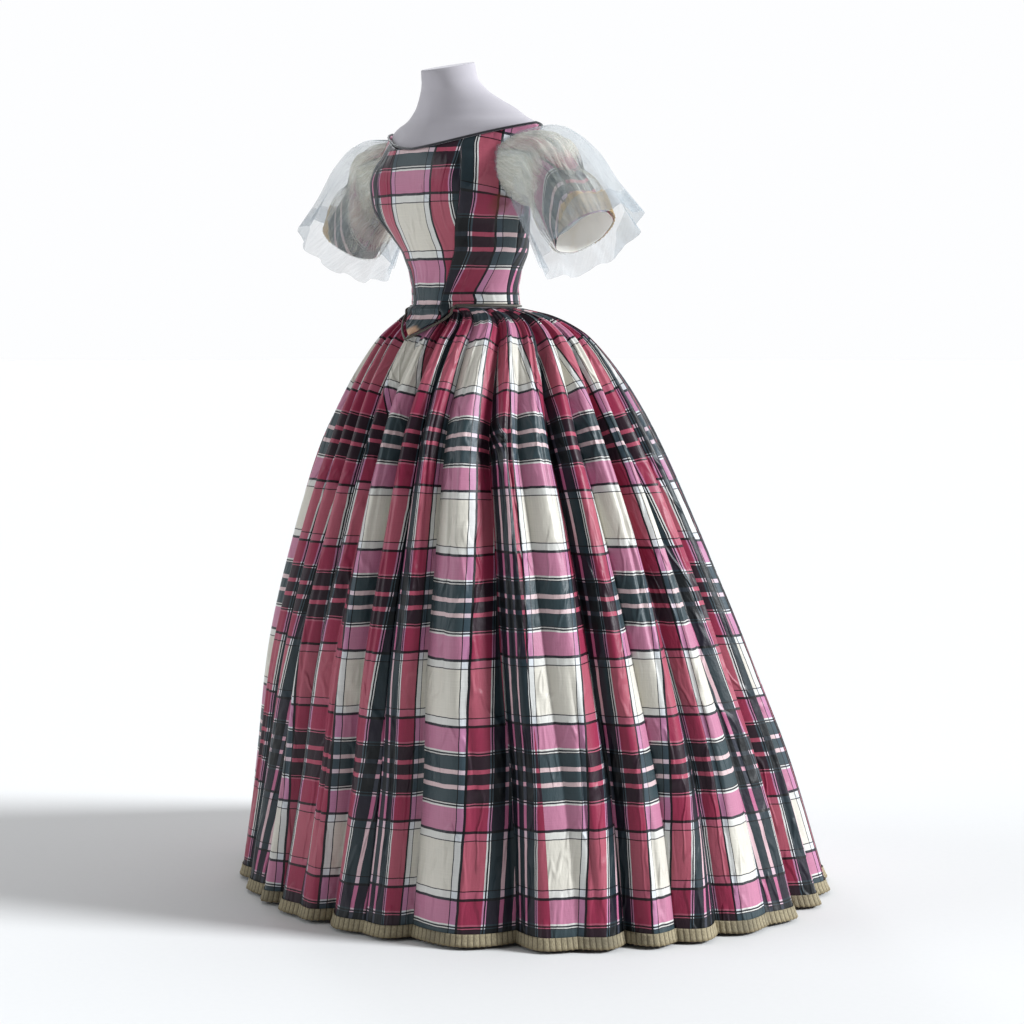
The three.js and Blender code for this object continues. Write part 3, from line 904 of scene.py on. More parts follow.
@dataclass(frozen=True)
class PaintedSteel:
    """Pale satin paint over steel, rubbed in places."""

    name: str = "Painted steel"

    def material(self) -> bpy.types.Material:
        """Builds the finish: orange peel in the paint and faint scuffs."""
        board = Board(self.name)
        place = board.object_place()
        peel = board.noise(place, 320.0, 2.0)
        scuff = board.noise(place, 26.0, 5.0, 0.7)
        paint = board.mix(linear(205, 205, 209), linear(190, 190, 196), scuff.step(0.4, 0.7))
        return board.dress(
            Base_Color=board.mix(paint, linear(140, 138, 136), scuff.step(0.68, 0.78) * 0.5),
            Roughness=0.32 + scuff * 0.22,
            Normal=board.relief(peel, 0.25, 0.0003),
            Coat_Weight=0.15,
        )


class Finishes:
    """Every finish of the object, made once."""

    def __init__(self) -> None:
        """Makes the plain finishes, then those with places of their own on the object."""
        self.tartan = TartanSilk().material()
        self.cord = CordSilk("Dark cord", linear(22, 22, 30)).material()
        self.waist_cord = CordSilk("Olive cord", linear(66, 62, 52)).material()
        self.braid = RibbedBraid().material()
        self.lining = CottonLining().material()
        self.cover = FormCover().material()
        self.steel = PaintedSteel().material()
        tip = Stain((0, WAIST_Y - 138, 988), 24, linear(214, 172, 140), 0.9)
        # Painted shade: a brown patch where the sleeve shades the side under the arm.
        underarm_shade = Stain((128, WAIST_Y - 60, 1206), 30, linear(112, 62, 44), 0.6)
        self.bodice = TartanSilk("Bodice silk", stains_and_shade=(tip, underarm_shade)).material()
        self.gauze = SheerCloth(
            name="Ivory gauze",
            tint=linear(255, 248, 226),
            hem_tint=linear(214, 184, 132),
            cover=0.37,
            patchy=0.70,
            thread=0.62,
            hem_start=189.0,
            hem_cover=0.55,
            glow=0.10,
            thinning=0.25,
        ).material()
        self.organza = SheerCloth(
            name="White organza",
            tint=linear(178, 190, 198),
            hem_tint=linear(180, 192, 200),
            cover=0.17,
            patchy=0.18,
            thread=0.16,
            hem_start=224.0,
            hem_cover=0.32,
            glow=0.3,
            roughness=0.4,
            sheen=0.15,
        ).material()


# Skirt


@dataclass(frozen=True)
class Pleat:
    """A valley of the skirt and the cloth on the crest that follows it.

    Azimuths in degrees at the hip and at the hem, depths of the valley, and the places across
    the sett that lie on the crest at the waist, hip and hem. The fullness is how much cloth
    small folds take up on the way from the crest. The tuck is cloth hidden in one small fold
    past the crest, so that what lies before it comes from that much further back in the sett.
    """

    hip: float
    hem: float
    hip_depth: float
    hem_depth: float
    crest: tuple[float, float, float]
    fullness: float = 1.0
    tuck: float = 0.0


PLEATS = (
    Pleat(-20, -35, 30, 32, (70, 70, 112)),
    Pleat(-13, -23, 22, 16, (60, 75, 20)),
    Pleat(-4, -16, 26, 28, (12, -100, -95)),
    Pleat(3, -7, 16, 7, (40, -25, -72)),
    Pleat(11, 0, 28, 34, (80, 70, 108)),
    Pleat(19, 10, 18, 9, (-75, -92, -98), 1.5),
    Pleat(27, 19, 34, 30, (35, 26, 56)),
    Pleat(43, 39, 42, 46, (-50, -80, -30), 1.35, 46),
    Pleat(53, 50, 20, 9, (85, 10, 90), 1.15),
    Pleat(65, 59, 38, 36, (-48, -84, -48), 1.3),
    Pleat(76, 68, 30, 20, (88, 20, 122), 1.2),
    Pleat(87, 77, 34, 30, (-20, -34, -22), 1.4),
    Pleat(95, 88, 22, 12, (-60, -70, -108)),
    Pleat(104, 100, 38, 52, (112, 112, 125)),
    Pleat(113, 110, 30, 30, (60, 60, 60)),
    Pleat(122, 121, 30, 22, (180, 180, 176)),
    Pleat(132, 131, 34, 34, (20, 20, 14)),
    Pleat(142, 141, 26, 16, (132, 132, 120)),
    Pleat(152, 152, 34, 36, (-30, -30, -52)),
    Pleat(162, 162, 28, 20, (72, 72, 60)),
    Pleat(171, 172, 32, 34, (190, 190, 178)),
    Pleat(181, 182, 26, 24, (16, 16, 8)),
    Pleat(193, 192, 30, 22, (120, 120, 128)),
    Pleat(205, 203, 34, 34, (-44, -44, -30)),
    Pleat(216, 214, 26, 20, (66, 66, 84)),
    Pleat(227, 225, 34, 36, (170, 170, 190)),
    Pleat(238, 236, 28, 18, (2, 2, 20)),
    Pleat(249, 246, 34, 34, (110, 110, 128)),
    Pleat(260, 255, 24, 18, (-52, -52, -34)),
    Pleat(271, 264, 34, 40, (60, 60, 70)),
    Pleat(283, 273, 26, 14, (168, 168, 160)),
    Pleat(295, 283, 34, 36, (-8, -8, 4)),
    Pleat(307, 292, 26, 16, (92, 92, 84)),
    Pleat(319, 303, 34, 38, (-34, -34, -40)),
    Pleat(331, 314, 24, 12, (75, 75, 75)),
)
BREADTHS = (
    "centre_front",
    "side_front_left",
    "side_back_left",
    "back_left",
    "back_right",
    "side_back_right",
    "side_front_right",
)


@dataclass(frozen=True)
class Crease:
    """A soft trough, or a ridge where its depth is below nought.

    Its place is counted in pleats; it runs between two heights and leans by some pleats.
    """

    pleat: float
    bottom: float
    top: float
    width: float
    depth: float
    lean: float = 0.0


SKIRT_CREASES = (
    Crease(0.42, 300, 820, 0.07, 3.5),
    Crease(1.60, 120, 620, 0.08, 4.0, 0.1),
    Crease(2.38, 420, 900, 0.07, 3.0),
    Crease(3.35, 90, 520, 0.07, 4.5, 0.12),
    Crease(3.66, 560, 960, 0.06, 3.0, -0.08),
    Crease(4.50, 260, 760, 0.06, 3.0),
    Crease(5.36, 60, 430, 0.06, 3.5, 0.08),
    Crease(5.62, 500, 930, 0.07, 4.0, -0.1),
    Crease(6.30, 380, 990, 0.05, 4.5, 0.05),
    Crease(6.62, 20, 520, 0.06, 4.0, -0.06),
    Crease(6.46, 640, 800, 0.05, -2.5, 0.1),
    Crease(7.33, 120, 690, 0.06, 4.5, 0.08),
    Crease(7.64, 560, 980, 0.06, 4.0, -0.05),
    Crease(8.40, 40, 470, 0.06, 4.0, 0.1),
    Crease(8.58, 640, 960, 0.06, 3.5, -0.1),
    Crease(9.34, 200, 780, 0.06, 4.0, 0.06),
    Crease(9.62, 20, 260, 0.07, 4.0, -0.1),
    Crease(10.45, 330, 900, 0.07, 4.0, 0.06),
    Crease(11.36, 60, 560, 0.06, 5.0, 0.1),
    Crease(11.62, 480, 940, 0.06, 3.5, -0.06),
    Crease(12.48, 220, 700, 0.07, 4.0, 0.05),
    Crease(13.40, 40, 420, 0.06, 4.5, 0.1),
    Crease(14.55, 340, 860, 0.07, 4.0, -0.06),
    Crease(15.42, 80, 600, 0.07, 4.0, 0.08),
    Crease(16.60, 420, 930, 0.07, 4.0, -0.08),
    Crease(17.38, 40, 480, 0.07, 4.0, 0.06),
    Crease(18.55, 300, 850, 0.07, 4.5, -0.06),
    Crease(19.44, 90, 640, 0.07, 3.5, 0.08),
    Crease(20.58, 520, 960, 0.07, 4.0, -0.05),
    Crease(21.40, 60, 520, 0.07, 4.5, 0.1),
    Crease(22.60, 340, 900, 0.07, 4.0, -0.06),
    Crease(23.42, 120, 700, 0.07, 4.0, 0.06),
    Crease(24.55, 460, 940, 0.07, 3.5, -0.08),
    Crease(25.38, 40, 460, 0.07, 4.5, 0.08),
    Crease(26.58, 300, 820, 0.07, 4.0, -0.06),
    Crease(27.42, 100, 620, 0.07, 4.0, 0.08),
    Crease(28.56, 420, 920, 0.07, 4.0, -0.05),
    Crease(29.44, 60, 500, 0.07, 4.5, 0.08),
    Crease(30.60, 340, 880, 0.07, 4.0, -0.06),
    Crease(31.40, 80, 560, 0.07, 4.0, 0.06),
    Crease(32.55, 380, 900, 0.07, 4.0, -0.08),
    Crease(33.42, 120, 640, 0.07, 4.0, 0.06),
    Crease(34.55, 60, 520, 0.07, 4.0, 0.05),
)


@dataclass
class Skirt:
    """The pleated skirt: seven breadths of silk.

    A pair of heights says where something comes in or dies out. The cut of a breadth is in
    metres and square metres, and the tuck's column is counted from the valley.
    """

    pleats_per_breadth: int = 5
    columns_per_pleat: int = 22
    rows: int = 120
    waist_depth: float = 3.0
    waist_crowding: float = 0.72
    crowding_fade: float = 1.5
    hip_side: float = 310.0
    flank_reach: float = 0.5
    flank_power: float = 1.7
    gather_depth: float = 3.8
    crease_scale: float = 1.5
    gathered_from: float = 980.0
    waist_fullness: float = 1.6
    first_cream: float = 125.0
    row_jog: float = 5.0
    breadth_flat: tuple[float, float] = (0.60, 1.19)
    breadth_area: float = 0.47
    tuck_column: int = 13
    tucked_from: float = 850.0
    seam_share: float = 0.002
    sloping: tuple[float, float] = (600.0, 950.0)
    gathers_start: tuple[float, float] = (820.0, 985.0)
    gathers_end: tuple[float, float] = (1020.0, 1029.0)
    gathers_per_pleat: int = 3
    crease_wander: float = 0.02
    crease_narrowing: float = 0.8
    slope_azimuth: float = 45.0

    def valley(self, number: np.ndarray, height: np.ndarray) -> tuple[np.ndarray, np.ndarray]:
        """Azimuth and depth of valleys, which crowd towards the back at the waist.

        Args:
            number: Whole numbers of the valleys; they may run past one turn.
            height: Heights, of the same shape.

        Returns:
            Azimuths in degrees and depths.
        """
        count = len(PLEATS)
        table = np.array([[p.hip, p.hem, p.hip_depth, p.hem_depth] for p in PLEATS])
        turns, which = np.divmod(number.astype(int), count)
        hip, hem, hip_depth, hem_depth = np.moveaxis(table[which], -1, 0)
        signed = np.where(hip > 180, hip - 360, hip)
        crowded = 180 * np.sign(signed) * (np.abs(signed) / 180) ** self.waist_crowding
        waist = np.where(hip > 180, crowded + 360, crowded)
        side = smooth_curve(SKIRT_STACK.heights, SKIRT_STACK.values[:, 0], height)
        inner = SKIRT_STACK.values[-1, 0]
        spread = np.clip((side - inner) / (self.hip_side - inner), 0, 1)
        below = np.clip((HIP_Z - height) / (HIP_Z - HEM_Z), 0, 1)
        upper = hip + (waist - hip) * (1 - spread) ** self.crowding_fade
        azimuth = np.where(height > HIP_Z, upper, hip + (hem - hip) * below)
        above_depth = self.waist_depth + (hip_depth - self.waist_depth) * spread**1.2
        depth = np.where(height > HIP_Z, above_depth, hip_depth + (hem_depth - hip_depth) * below)
        return azimuth + 360 * turns, depth

    def flank(self, t: np.ndarray) -> np.ndarray:
        """How much of a valley's depth is left at a share of the way to the next."""
        return np.maximum(0.0, 1.0 - t / self.flank_reach) ** self.flank_power

    def point(self, pleat: np.ndarray, height: np.ndarray) -> np.ndarray:
        """Points of the skirt's outer face; whole numbers of the pleat are valleys.

        Args:
            pleat: Places round the skirt, counted in pleats.
            height: Heights, of the same shape.

        Returns:
            Points of shape pleat.shape + (3,).
        """
        number = np.floor(pleat)
        t = pleat - number
        left_azimuth, left_depth = self.valley(number, height)
        right_azimuth, right_depth = self.valley(number + 1, height)
        azimuth = left_azimuth + (right_azimuth - left_azimuth) * t
        depth = left_depth * self.flank(t) + right_depth * self.flank(1 - t)
        depth = depth + self.creases(pleat, height) + self.gathers(pleat, height)
        crest = SKIRT_STACK.point(azimuth, height)
        inward = -SKIRT_STACK.normal(azimuth, height)
        inward[..., 2] *= ease(*self.sloping, height)
        return crest + unit(inward) * depth[..., None]

    def creases(self, pleat: np.ndarray, height: np.ndarray) -> np.ndarray:
        """Depth of the listed creases."""
        total = np.zeros_like(pleat)
        for crease in SKIRT_CREASES:
            share = (height - crease.bottom) / (crease.top - crease.bottom)
            along = np.sin(np.pi * np.clip(share, 0, 1)) ** 0.8
            wander = self.crease_wander * np.sin(height / 47.0 + crease.pleat * 9.0)
            offset = pleat - crease.pleat - crease.lean * (share - 0.5) - wander
            across = swell_at(offset, 0.0, self.crease_narrowing * crease.width)
            total += self.crease_scale * crease.depth * along * across
        return total

    def gathers(self, pleat: np.ndarray, height: np.ndarray) -> np.ndarray:
        """Depth of the small folds that spread from the waist and die out at the hip."""
        near = ease(*self.gathers_start, height) * (1.0 - ease(*self.gathers_end, height))
        turns = self.gathers_per_pleat * pleat + 0.3 * np.sin(pleat * 5.1)
        fold = 0.5 - 0.5 * np.cos(2 * np.pi * turns)
        uneven = 1.0 + 0.45 * np.sin(pleat * 2.7 + 0.6) * np.sin(pleat * 1.3)
        return self.gather_depth * near * uneven * fold**0.7

    def rows_up(self) -> np.ndarray:
        """Heights of the rows, closer together where the skirt turns in to the waist."""
        share = np.linspace(0, 1, self.rows)
        places = np.array([0.0, 0.12, 0.5, 0.72, 0.86, 1.0])
        levels = np.array([HEM_Z, 90.0, 560.0, 860.0, 985.0, SKIRT_TOP_Z])
        return smooth_curve(places, levels, share)

    def cloth(self, points: np.ndarray, first: int, heights: np.ndarray) -> np.ndarray:
        """Places on the cloth for each span between two columns.

        Args:
            points: The breadth's points, rows by columns.
            first: Number of its first pleat.
            heights: Heights of its rows.

        Returns:
            Places of shape (rows, spans, 2, 2).
        """
        walked = run_lengths(points, 1)
        slope = SKIRT_STACK.point(np.full_like(heights, self.slope_azimuth), heights)[:, None]
        rise = run_lengths(slope, 0)[:, 0] - self.first_cream
        levels = np.array([HEM_Z, HIP_Z, self.gathered_from])
        gathered = ease(HIP_Z, self.gathered_from, heights)[:, None]
        tucked = 1.0 - ease(HIP_Z, self.tucked_from, heights)[:, None, None]
        made = np.zeros((len(heights), points.shape[1] - 1, 2, 2))
        for number in range(self.pleats_per_breadth):
            pleat = PLEATS[first + number]
            low = number * self.columns_per_pleat
            high = low + self.columns_per_pleat
            crest = walked[:, [low + self.columns_per_pleat // 2]]
            middle = smooth_curve(levels, np.array(pleat.crest[::-1], float), heights)[:, None]
            fullness = pleat.fullness + (self.waist_fullness - pleat.fullness) * gathered
            across = middle + (walked[:, low:high + 1] - crest) * fullness
            made[:, low:high, 0, 0] = across[:, :-1]
            made[:, low:high, 1, 0] = across[:, 1:]
            made[:, low:low + self.tuck_column, :, 0] -= pleat.tuck * tucked
            jog = self.row_jog * math.sin(2.3 * (first + number))
            made[:, low:high, :, 1] = rise[:, None, None] + jog
        return made

    def build(self, finishes: Finishes) -> None:
        """Builds the seven breadths."""
        heights = self.rows_up()
        spans = self.pleats_per_breadth * self.columns_per_pleat
        for number, name in enumerate(BREADTHS):
            first = number * self.pleats_per_breadth
            last = self.pleats_per_breadth - self.seam_share
            columns = first + np.linspace(self.seam_share, last, spans + 1)
            pleat, height = np.meshgrid(columns, heights)
            points = self.point(pleat, height)
            GridPiece(
                name=f"silk_breadth_{name}",
                nodes=(f"skirt_{name}",),
                slot=Slot.TARTAN,
                points=points,
                cloth=self.cloth(points, first, heights),
                sheet=Sheet(
                    self.breadth_flat, Held.GATHERED, ("form_smooth",), self.breadth_area
                ),
            ).build(finishes.tartan)


@dataclass
class HemBraid:
    """The ribbed braid sewn round the hem."""

    skirt: Skirt
    top: float = 25.5
    bottom: float = 5.0
    columns_per_rib: int = 5
    gap: float = 0.5
    wall: float = 0.9
    rib_depth: float = 1.7
    flare: float = 1.4
    drop: float = 2.6
    rows: int = 6
    places: int = 9000
    slope_height: float = 60.0
    flat_width: float = 0.022
    fullness: float = 1.06

    def rib(self, along: np.ndarray, shift: float = 0.0) -> np.ndarray:
        """How far out of its groove the braid stands along its length."""
        return np.abs(np.sin(np.pi * along / RIB_PITCH + shift))

    def build(self, finishes: Finishes) -> None:
        """Builds the braid as one ring that follows every pleat."""
        dense = np.linspace(0, len(PLEATS), self.places)
        foot = self.skirt.point(dense, np.full_like(dense, HEM_Z))
        walked = run_lengths(foot[None], 1)[0]
        ribs = int(walked[-1] / RIB_PITCH)
        along = np.linspace(0, walked[-1], ribs * self.columns_per_rib + 1)
        pleat = np.interp(along, walked, dense)
        heights = np.linspace(self.bottom, self.top, self.rows)
        base = self.skirt.point(pleat, np.full_like(pleat, HEM_Z))
        above = self.skirt.point(pleat, np.full_like(pleat, self.slope_height))
        slope = (above - base) / (self.slope_height - HEM_Z)
        around = np.roll(base[:-1], -1, axis=0) - np.roll(base[:-1], 1, axis=0)
        out = unit(np.stack([around[:, 1], -around[:, 0], np.zeros(len(around))], axis=-1))
        out = np.concatenate([out, out[:1]])
        depth = self.rib_depth * self.rib(along) ** 0.6
        uneven = 0.6 + 0.4 * np.sin(along * 0.013) * np.sin(along * 0.031 + 1.0)
        drop = self.drop * self.rib(along, 0.4) * uneven
        points = np.empty((self.rows, len(along), 3))
        cloth = np.empty((self.rows, len(along), 2))
        for row, height in enumerate(heights):
            share = row / (self.rows - 1)
            loose = (1 - share) ** 2
            bulge = self.gap + self.wall + depth * (1 - 0.55 * share) + self.flare * loose
            points[row] = base + slope * (height - HEM_Z) + bulge[:, None] * out
            points[row, :, 2] = height + drop * loose
            cloth[row, :, 0] = along
            cloth[row, :, 1] = height - self.bottom
        ring = walked[-1] * MM
        GridPiece(
            name="ribbed_hem_braid",
            nodes=("hem_braid",),
            slot=Slot.BRAID,
            points=points,
            cloth=cloth,
            wraps=True,
            thickness=self.wall,
            sheet=Sheet(
                (round(ring * self.fullness, 2), self.flat_width),
                Held.GATHERED,
                tuple(f"silk_breadth_{name}" for name in BREADTHS),
            ),
        ).build(finishes.braid)


# Bodice


PRINCESS_HEIGHTS = np.array([WAIST_Z, 1060.0, 1110.0, 1160.0, 1210.0, 1318.0])
PRINCESS_AZIMUTHS = np.array([17.0, 22.0, 32.0, 41.0, 47.5, 49.0])
ARMHOLE_AZIMUTH = 93.0
ARMHOLE_HALF_ANGLE = 22.0
ARMHOLE_HEIGHT = 1266.0
ARMHOLE_HALF_HEIGHT = 58.0
POINT_Z = 983.0
POINT_SPREAD = 34.0
NECK_FRONT_Z = 1295.0
NECK_SIDE_Z = 1336.0
NECK_BACK_Z = 1318.0

Seam = Callable[[np.ndarray], np.ndarray]


def neck_height(azimuth: np.ndarray) -> np.ndarray:
    """Height of the neckline round the bodice."""
    a = np.abs(azimuth)
    front = NECK_FRONT_Z + (NECK_SIDE_Z - NECK_FRONT_Z) * (a / 90) ** 1.5
    back = NECK_SIDE_Z + (NECK_BACK_Z - NECK_SIDE_Z) * (np.maximum(a - 90, 0) / 90) ** 0.8
    return np.where(a < 90, front, back)


def point_share(azimuth: np.ndarray) -> np.ndarray:
    """Nearness to the point in front: 1 on it and 0 where the lower edge is level."""
    return np.maximum(0, 1 - np.abs(azimuth) / POINT_SPREAD)


def waist_height(azimuth: np.ndarray) -> np.ndarray:
    """Height of the bodice's lower edge: level, then falling to the point in front."""
    return WAIST_Z - (WAIST_Z - POINT_Z) * point_share(azimuth) ** 1.15


def panel_height(azimuth: np.ndarray, share: np.ndarray) -> np.ndarray:
    """Height of a row that lies a share of the way from the lower edge to the neckline."""
    low = waist_height(azimuth)
    return low + (neck_height(azimuth) - low) * share


def princess(height: np.ndarray) -> np.ndarray:
    """Azimuth of the princess seam."""
    return smooth_curve(PRINCESS_HEIGHTS, PRINCESS_AZIMUTHS, height)


def side_seam(height: np.ndarray, towards_back: bool) -> np.ndarray:
    """Azimuth of the side seam, which opens round the armhole."""
    off = (height - ARMHOLE_HEIGHT) / ARMHOLE_HALF_HEIGHT
    opening = ARMHOLE_HALF_ANGLE * np.sqrt(np.maximum(0, 1 - off * off))
    return ARMHOLE_AZIMUTH + (opening if towards_back else -opening)


def seam_azimuth(seam: Seam, share: np.ndarray) -> np.ndarray:
    """Azimuth of a seam where it crosses rows, found in steps.

    Args:
        seam: Azimuth of the seam by height.
        share: Shares of the rows.

    Returns:
        Azimuths, one for each row.
    """
    height = panel_height(np.full_like(share, 60.0), share)
    for _ in range(30):
        height = 0.5 * height + 0.5 * panel_height(seam(height), share)
    return seam(height)


class Origin(Enum):
    """Where a panel's cloth is counted from."""

    MIDDLE = "middle"
    FIRST = "first"
    LAST = "last"


@dataclass(frozen=True)
class Panel:
    """A panel of the bodice and the place on the sett that lies at its origin."""

    name: str
    first_seam: Seam
    last_seam: Seam
    columns: int
    origin: Origin
    across: float
    cream_height: float
    slant: float
    flat: tuple[float, float]
    area: float


BACK_CUT: dict[str, Any] = {
    "columns": 44,
    "across": 0,
    "cream_height": 1000,
    "slant": 0.0,
    "flat": (0.21, 0.31),
    "area": 0.046,
}
SIDE_FRONT_CUT: dict[str, Any] = {
    "columns": 34,
    "across": 124,
    "cream_height": 1000,
    "slant": 0.20,
    "flat": (0.15, 0.3),
    "area": 0.032,
}
BODICE_PANELS = (
    Panel(
        name="back_right",
        first_seam=lambda h: np.full_like(h, -180.0),
        last_seam=lambda h: -side_seam(h, True),
        origin=Origin.FIRST,
        **BACK_CUT,
    ),
    Panel(
        name="side_front_right",
        first_seam=lambda h: -side_seam(h, False),
        last_seam=lambda h: -princess(h),
        origin=Origin.LAST,
        **SIDE_FRONT_CUT,
    ),
    Panel(
        name="centre_front",
        first_seam=lambda h: -princess(h),
        last_seam=princess,
        origin=Origin.MIDDLE,
        columns=48,
        across=3,
        cream_height=1166,
        slant=0.0,
        flat=(0.19, 0.36),
        area=0.048,
    ),
    Panel(
        name="side_front_left",
        first_seam=princess,
        last_seam=lambda h: side_seam(h, False),
        origin=Origin.FIRST,
        **SIDE_FRONT_CUT,
    ),
    Panel(
        name="back_left",
        first_seam=lambda h: side_seam(h, True),
        last_seam=lambda h: np.full_like(h, 180.0),
        origin=Origin.LAST,
        **BACK_CUT,
    ),
)


@dataclass(frozen=True)
class Drag:
    """A pull line on the bodice, between two points given by azimuth and height."""

    start: tuple[float, float]
    end: tuple[float, float]
    width: float
    depth: float


BODICE_DRAGS = (
    Drag((30, 1062), (52, 1042), 5, 1.6),
    Drag((28, 1078), (60, 1052), 6, 1.4),
    Drag((34, 1098), (58, 1076), 6, 1.1),
    Drag((22, 1050), (44, 1040), 4, 1.3),
    Drag((60, 1110), (86, 1122), 7, 1.2),
    Drag((64, 1146), (88, 1160), 8, 1.3),
    Drag((62, 1196), (78, 1214), 7, 1.6),
    Drag((6, 1060), (14, 1100), 7, 1.2),
    Drag((-4, 1044), (-12, 1092), 7, 1.1),
    Drag((-30, 1062), (-52, 1042), 5, 1.5),
    Drag((-28, 1082), (-58, 1054), 6, 1.3),
    Drag((-62, 1112), (-86, 1124), 7, 1.2),
    Drag((-62, 1196), (-78, 1214), 7, 1.5),
    Drag((34, 1290), (56, 1262), 8, 1.6),
    Drag((40, 1262), (60, 1240), 7, 1.2),
    Drag((-34, 1290), (-56, 1262), 8, 1.5),
    Drag((10, 1262), (30, 1256), 9, 0.8),
    Drag((112, 1210), (138, 1232), 8, 1.5),
    Drag((-112, 1210), (-138, 1232), 8, 1.4),
    Drag((118, 1070), (150, 1060), 7, 1.3),
    Drag((-118, 1070), (-150, 1060), 7, 1.3),
    Drag((130, 1120), (160, 1108), 8, 1.0),
    Drag((-132, 1122), (-160, 1110), 8, 1.0),
)


@dataclass
class Bodice:
    """The fitted, pointed bodice in five panels."""

    rows: int = 90
    silk_wall: float = 0.9
    seam_share: float = 0.003
    mm_per_degree: float = 2.0
    right_fullness: float = 1.2
    slanted: tuple[float, float] = (1170.0, 1235.0)

    def drags(self, azimuth: np.ndarray, height: np.ndarray) -> np.ndarray:
        """Depth of the pull lines.

        Args:
            azimuth: Azimuths in degrees.
            height: Heights, of the same shape.

        Returns:
            Depths in millimetres.
        """
        total = np.zeros_like(azimuth)
        for drag in BODICE_DRAGS:
            start = np.array([drag.start[0] * self.mm_per_degree, drag.start[1]])
            line = np.array([drag.end[0] * self.mm_per_degree, drag.end[1]]) - start
            x = azimuth * self.mm_per_degree - start[0]
            y = height - start[1]
            share = (x * line[0] + y * line[1]) / (line @ line)
            off = (x * line[1] - y * line[0]) / np.hypot(*line)
            along = np.sin(np.pi * np.clip(share, 0, 1))
            total += drag.depth * along * swell_at(off, 0.0, drag.width)
        return total

    def cloth(self, panel: Panel, points: np.ndarray) -> np.ndarray:
        """Places on the cloth for a panel's points."""
        walked = run_lengths(points, 1)
        match panel.origin:
            case Origin.MIDDLE:
                across = walked - walked[:, [panel.columns // 2]]
                fuller = np.where(across < 0, self.right_fullness * across, across)
                across = panel.across + fuller
                from_seam = np.abs(across)
            case Origin.FIRST:
                from_seam = walked
                across = panel.across - walked
            case Origin.LAST:
                from_seam = walked[:, [-1]] - walked
                across = panel.across - from_seam
        height = points[..., 2]
        slant = panel.slant * from_seam * ease(*self.slanted, height)
        return np.stack([across, height - panel.cream_height + slant], axis=-1)

    def build(self, finishes: Finishes) -> None:
        """Builds the five panels."""
        share = np.linspace(0, 1, self.rows)
        for panel in BODICE_PANELS:
            first = seam_azimuth(panel.first_seam, share)
            last = seam_azimuth(panel.last_seam, share)
            across = np.linspace(self.seam_share, 1 - self.seam_share, panel.columns + 1)
            azimuth = first[:, None] + (last - first)[:, None] * across
            height = panel_height(azimuth, share[:, None])
            points = BODICE_STACK.point(azimuth, height)
            normals = grid_normals(points, False)
            inward = self.drags(azimuth, height)
            points = points - normals * inward[..., None]
            GridPiece(
                name=f"bodice_silk_{panel.name}",
                nodes=(f"bodice_{panel.name}",),
                slot=Slot.TARTAN,
                points=points,
                cloth=self.cloth(panel, points),
                thickness=self.silk_wall,
                sheet=Sheet(panel.flat, Held.DRAPED, ("form_smooth",), panel.area),
            ).build(finishes.bodice)


@dataclass
class Pipings:
    """Covered cords in the neckline and in the lower edge of the bodice."""

    radius: float = 2.0
    lift: float = 2.3
    columns: int = 720
    around: int = 12
    level_drop: float = 3.0
    point_drop: float = 7.0
    out_level: float = 1.0
    out_sloped: float = -0.2

    def tube(self, name: str, node: str, path: np.ndarray, finish: bpy.types.Material) -> None:
        """Builds one cord.

        Args:
            name: The piece's name.
            node: The node that it stands for.
            path: Points of the closed path, with the first repeated at the end.
            finish: The cord's material.
        """
        along = np.empty_like(path)
        along[:-1] = np.roll(path[:-1], -1, axis=0) - np.roll(path[:-1], 1, axis=0)
        along[-1] = along[0]
        along = unit(along)
        out = unit(np.stack([along[:, 1], -along[:, 0], np.zeros(len(along))], axis=-1))
        up = np.cross(out, along)
        turn = np.radians(np.linspace(0, 360, self.around + 1))
        ring = np.cos(turn)[:, None, None] * out + np.sin(turn)[:, None, None] * up
        points = path + self.radius * ring
        length = run_lengths(path[None], 1)[0]
        cloth = np.empty(points.shape[:2] + (2,))
        cloth[..., 0] = length
        cloth[..., 1] = (self.radius * turn)[:, None]
        GridPiece(name, (node,), Slot.PIPING, points, cloth, True, 0.0).build(finish)

    def build(self, finishes: Finishes) -> None:
        """Builds both cords."""
        azimuth = np.linspace(-180, 180, self.columns + 1)
        neck = BODICE_STACK.point(azimuth, neck_height(azimuth))
        neck[:, 2] += self.lift
        self.tube("neck_cord", "neck_piping", neck, finishes.cord)
        fall = point_share(azimuth)
        on_skirt = np.minimum(1, fall * 9)
        lower = (self.point_drop - self.level_drop) * np.minimum(1, fall * 2)
        height = waist_height(azimuth) - (self.level_drop + lower)
        level = BODICE_STACK.point(azimuth, np.full_like(azimuth, WAIST_Z), self.out_level)
        sloped = BODICE_STACK.point(azimuth, height, self.out_sloped)
        waist = level + (sloped - level) * on_skirt[:, None]
        waist[:, 2] = height
        self.tube("waist_cord", "waist_piping", waist, finishes.waist_cord)


# Sleeves


@dataclass(frozen=True)
class SleeveRing:
    """A ring of a sleeve, by its distance up the sleeve line from the cuff end."""

    along: float
    slant: float
    upper: float
    under: float
    breadth: float


@dataclass(frozen=True)
class SleeveLayer:
    """One layer of a sleeve and how its cloth is gathered.

    Its loop round the armhole is grown by a factor and stands off the bodice. Its end swings in
    and out in so many waves.
    """

    word: str
    node: str
    slot: Slot
    rings: tuple[SleeveRing, ...]
    grow: float
    off: float
    columns: int
    rows: int
    wall: float
    sheet: Sheet
    waves: int = 0
    swing: float = 0.0


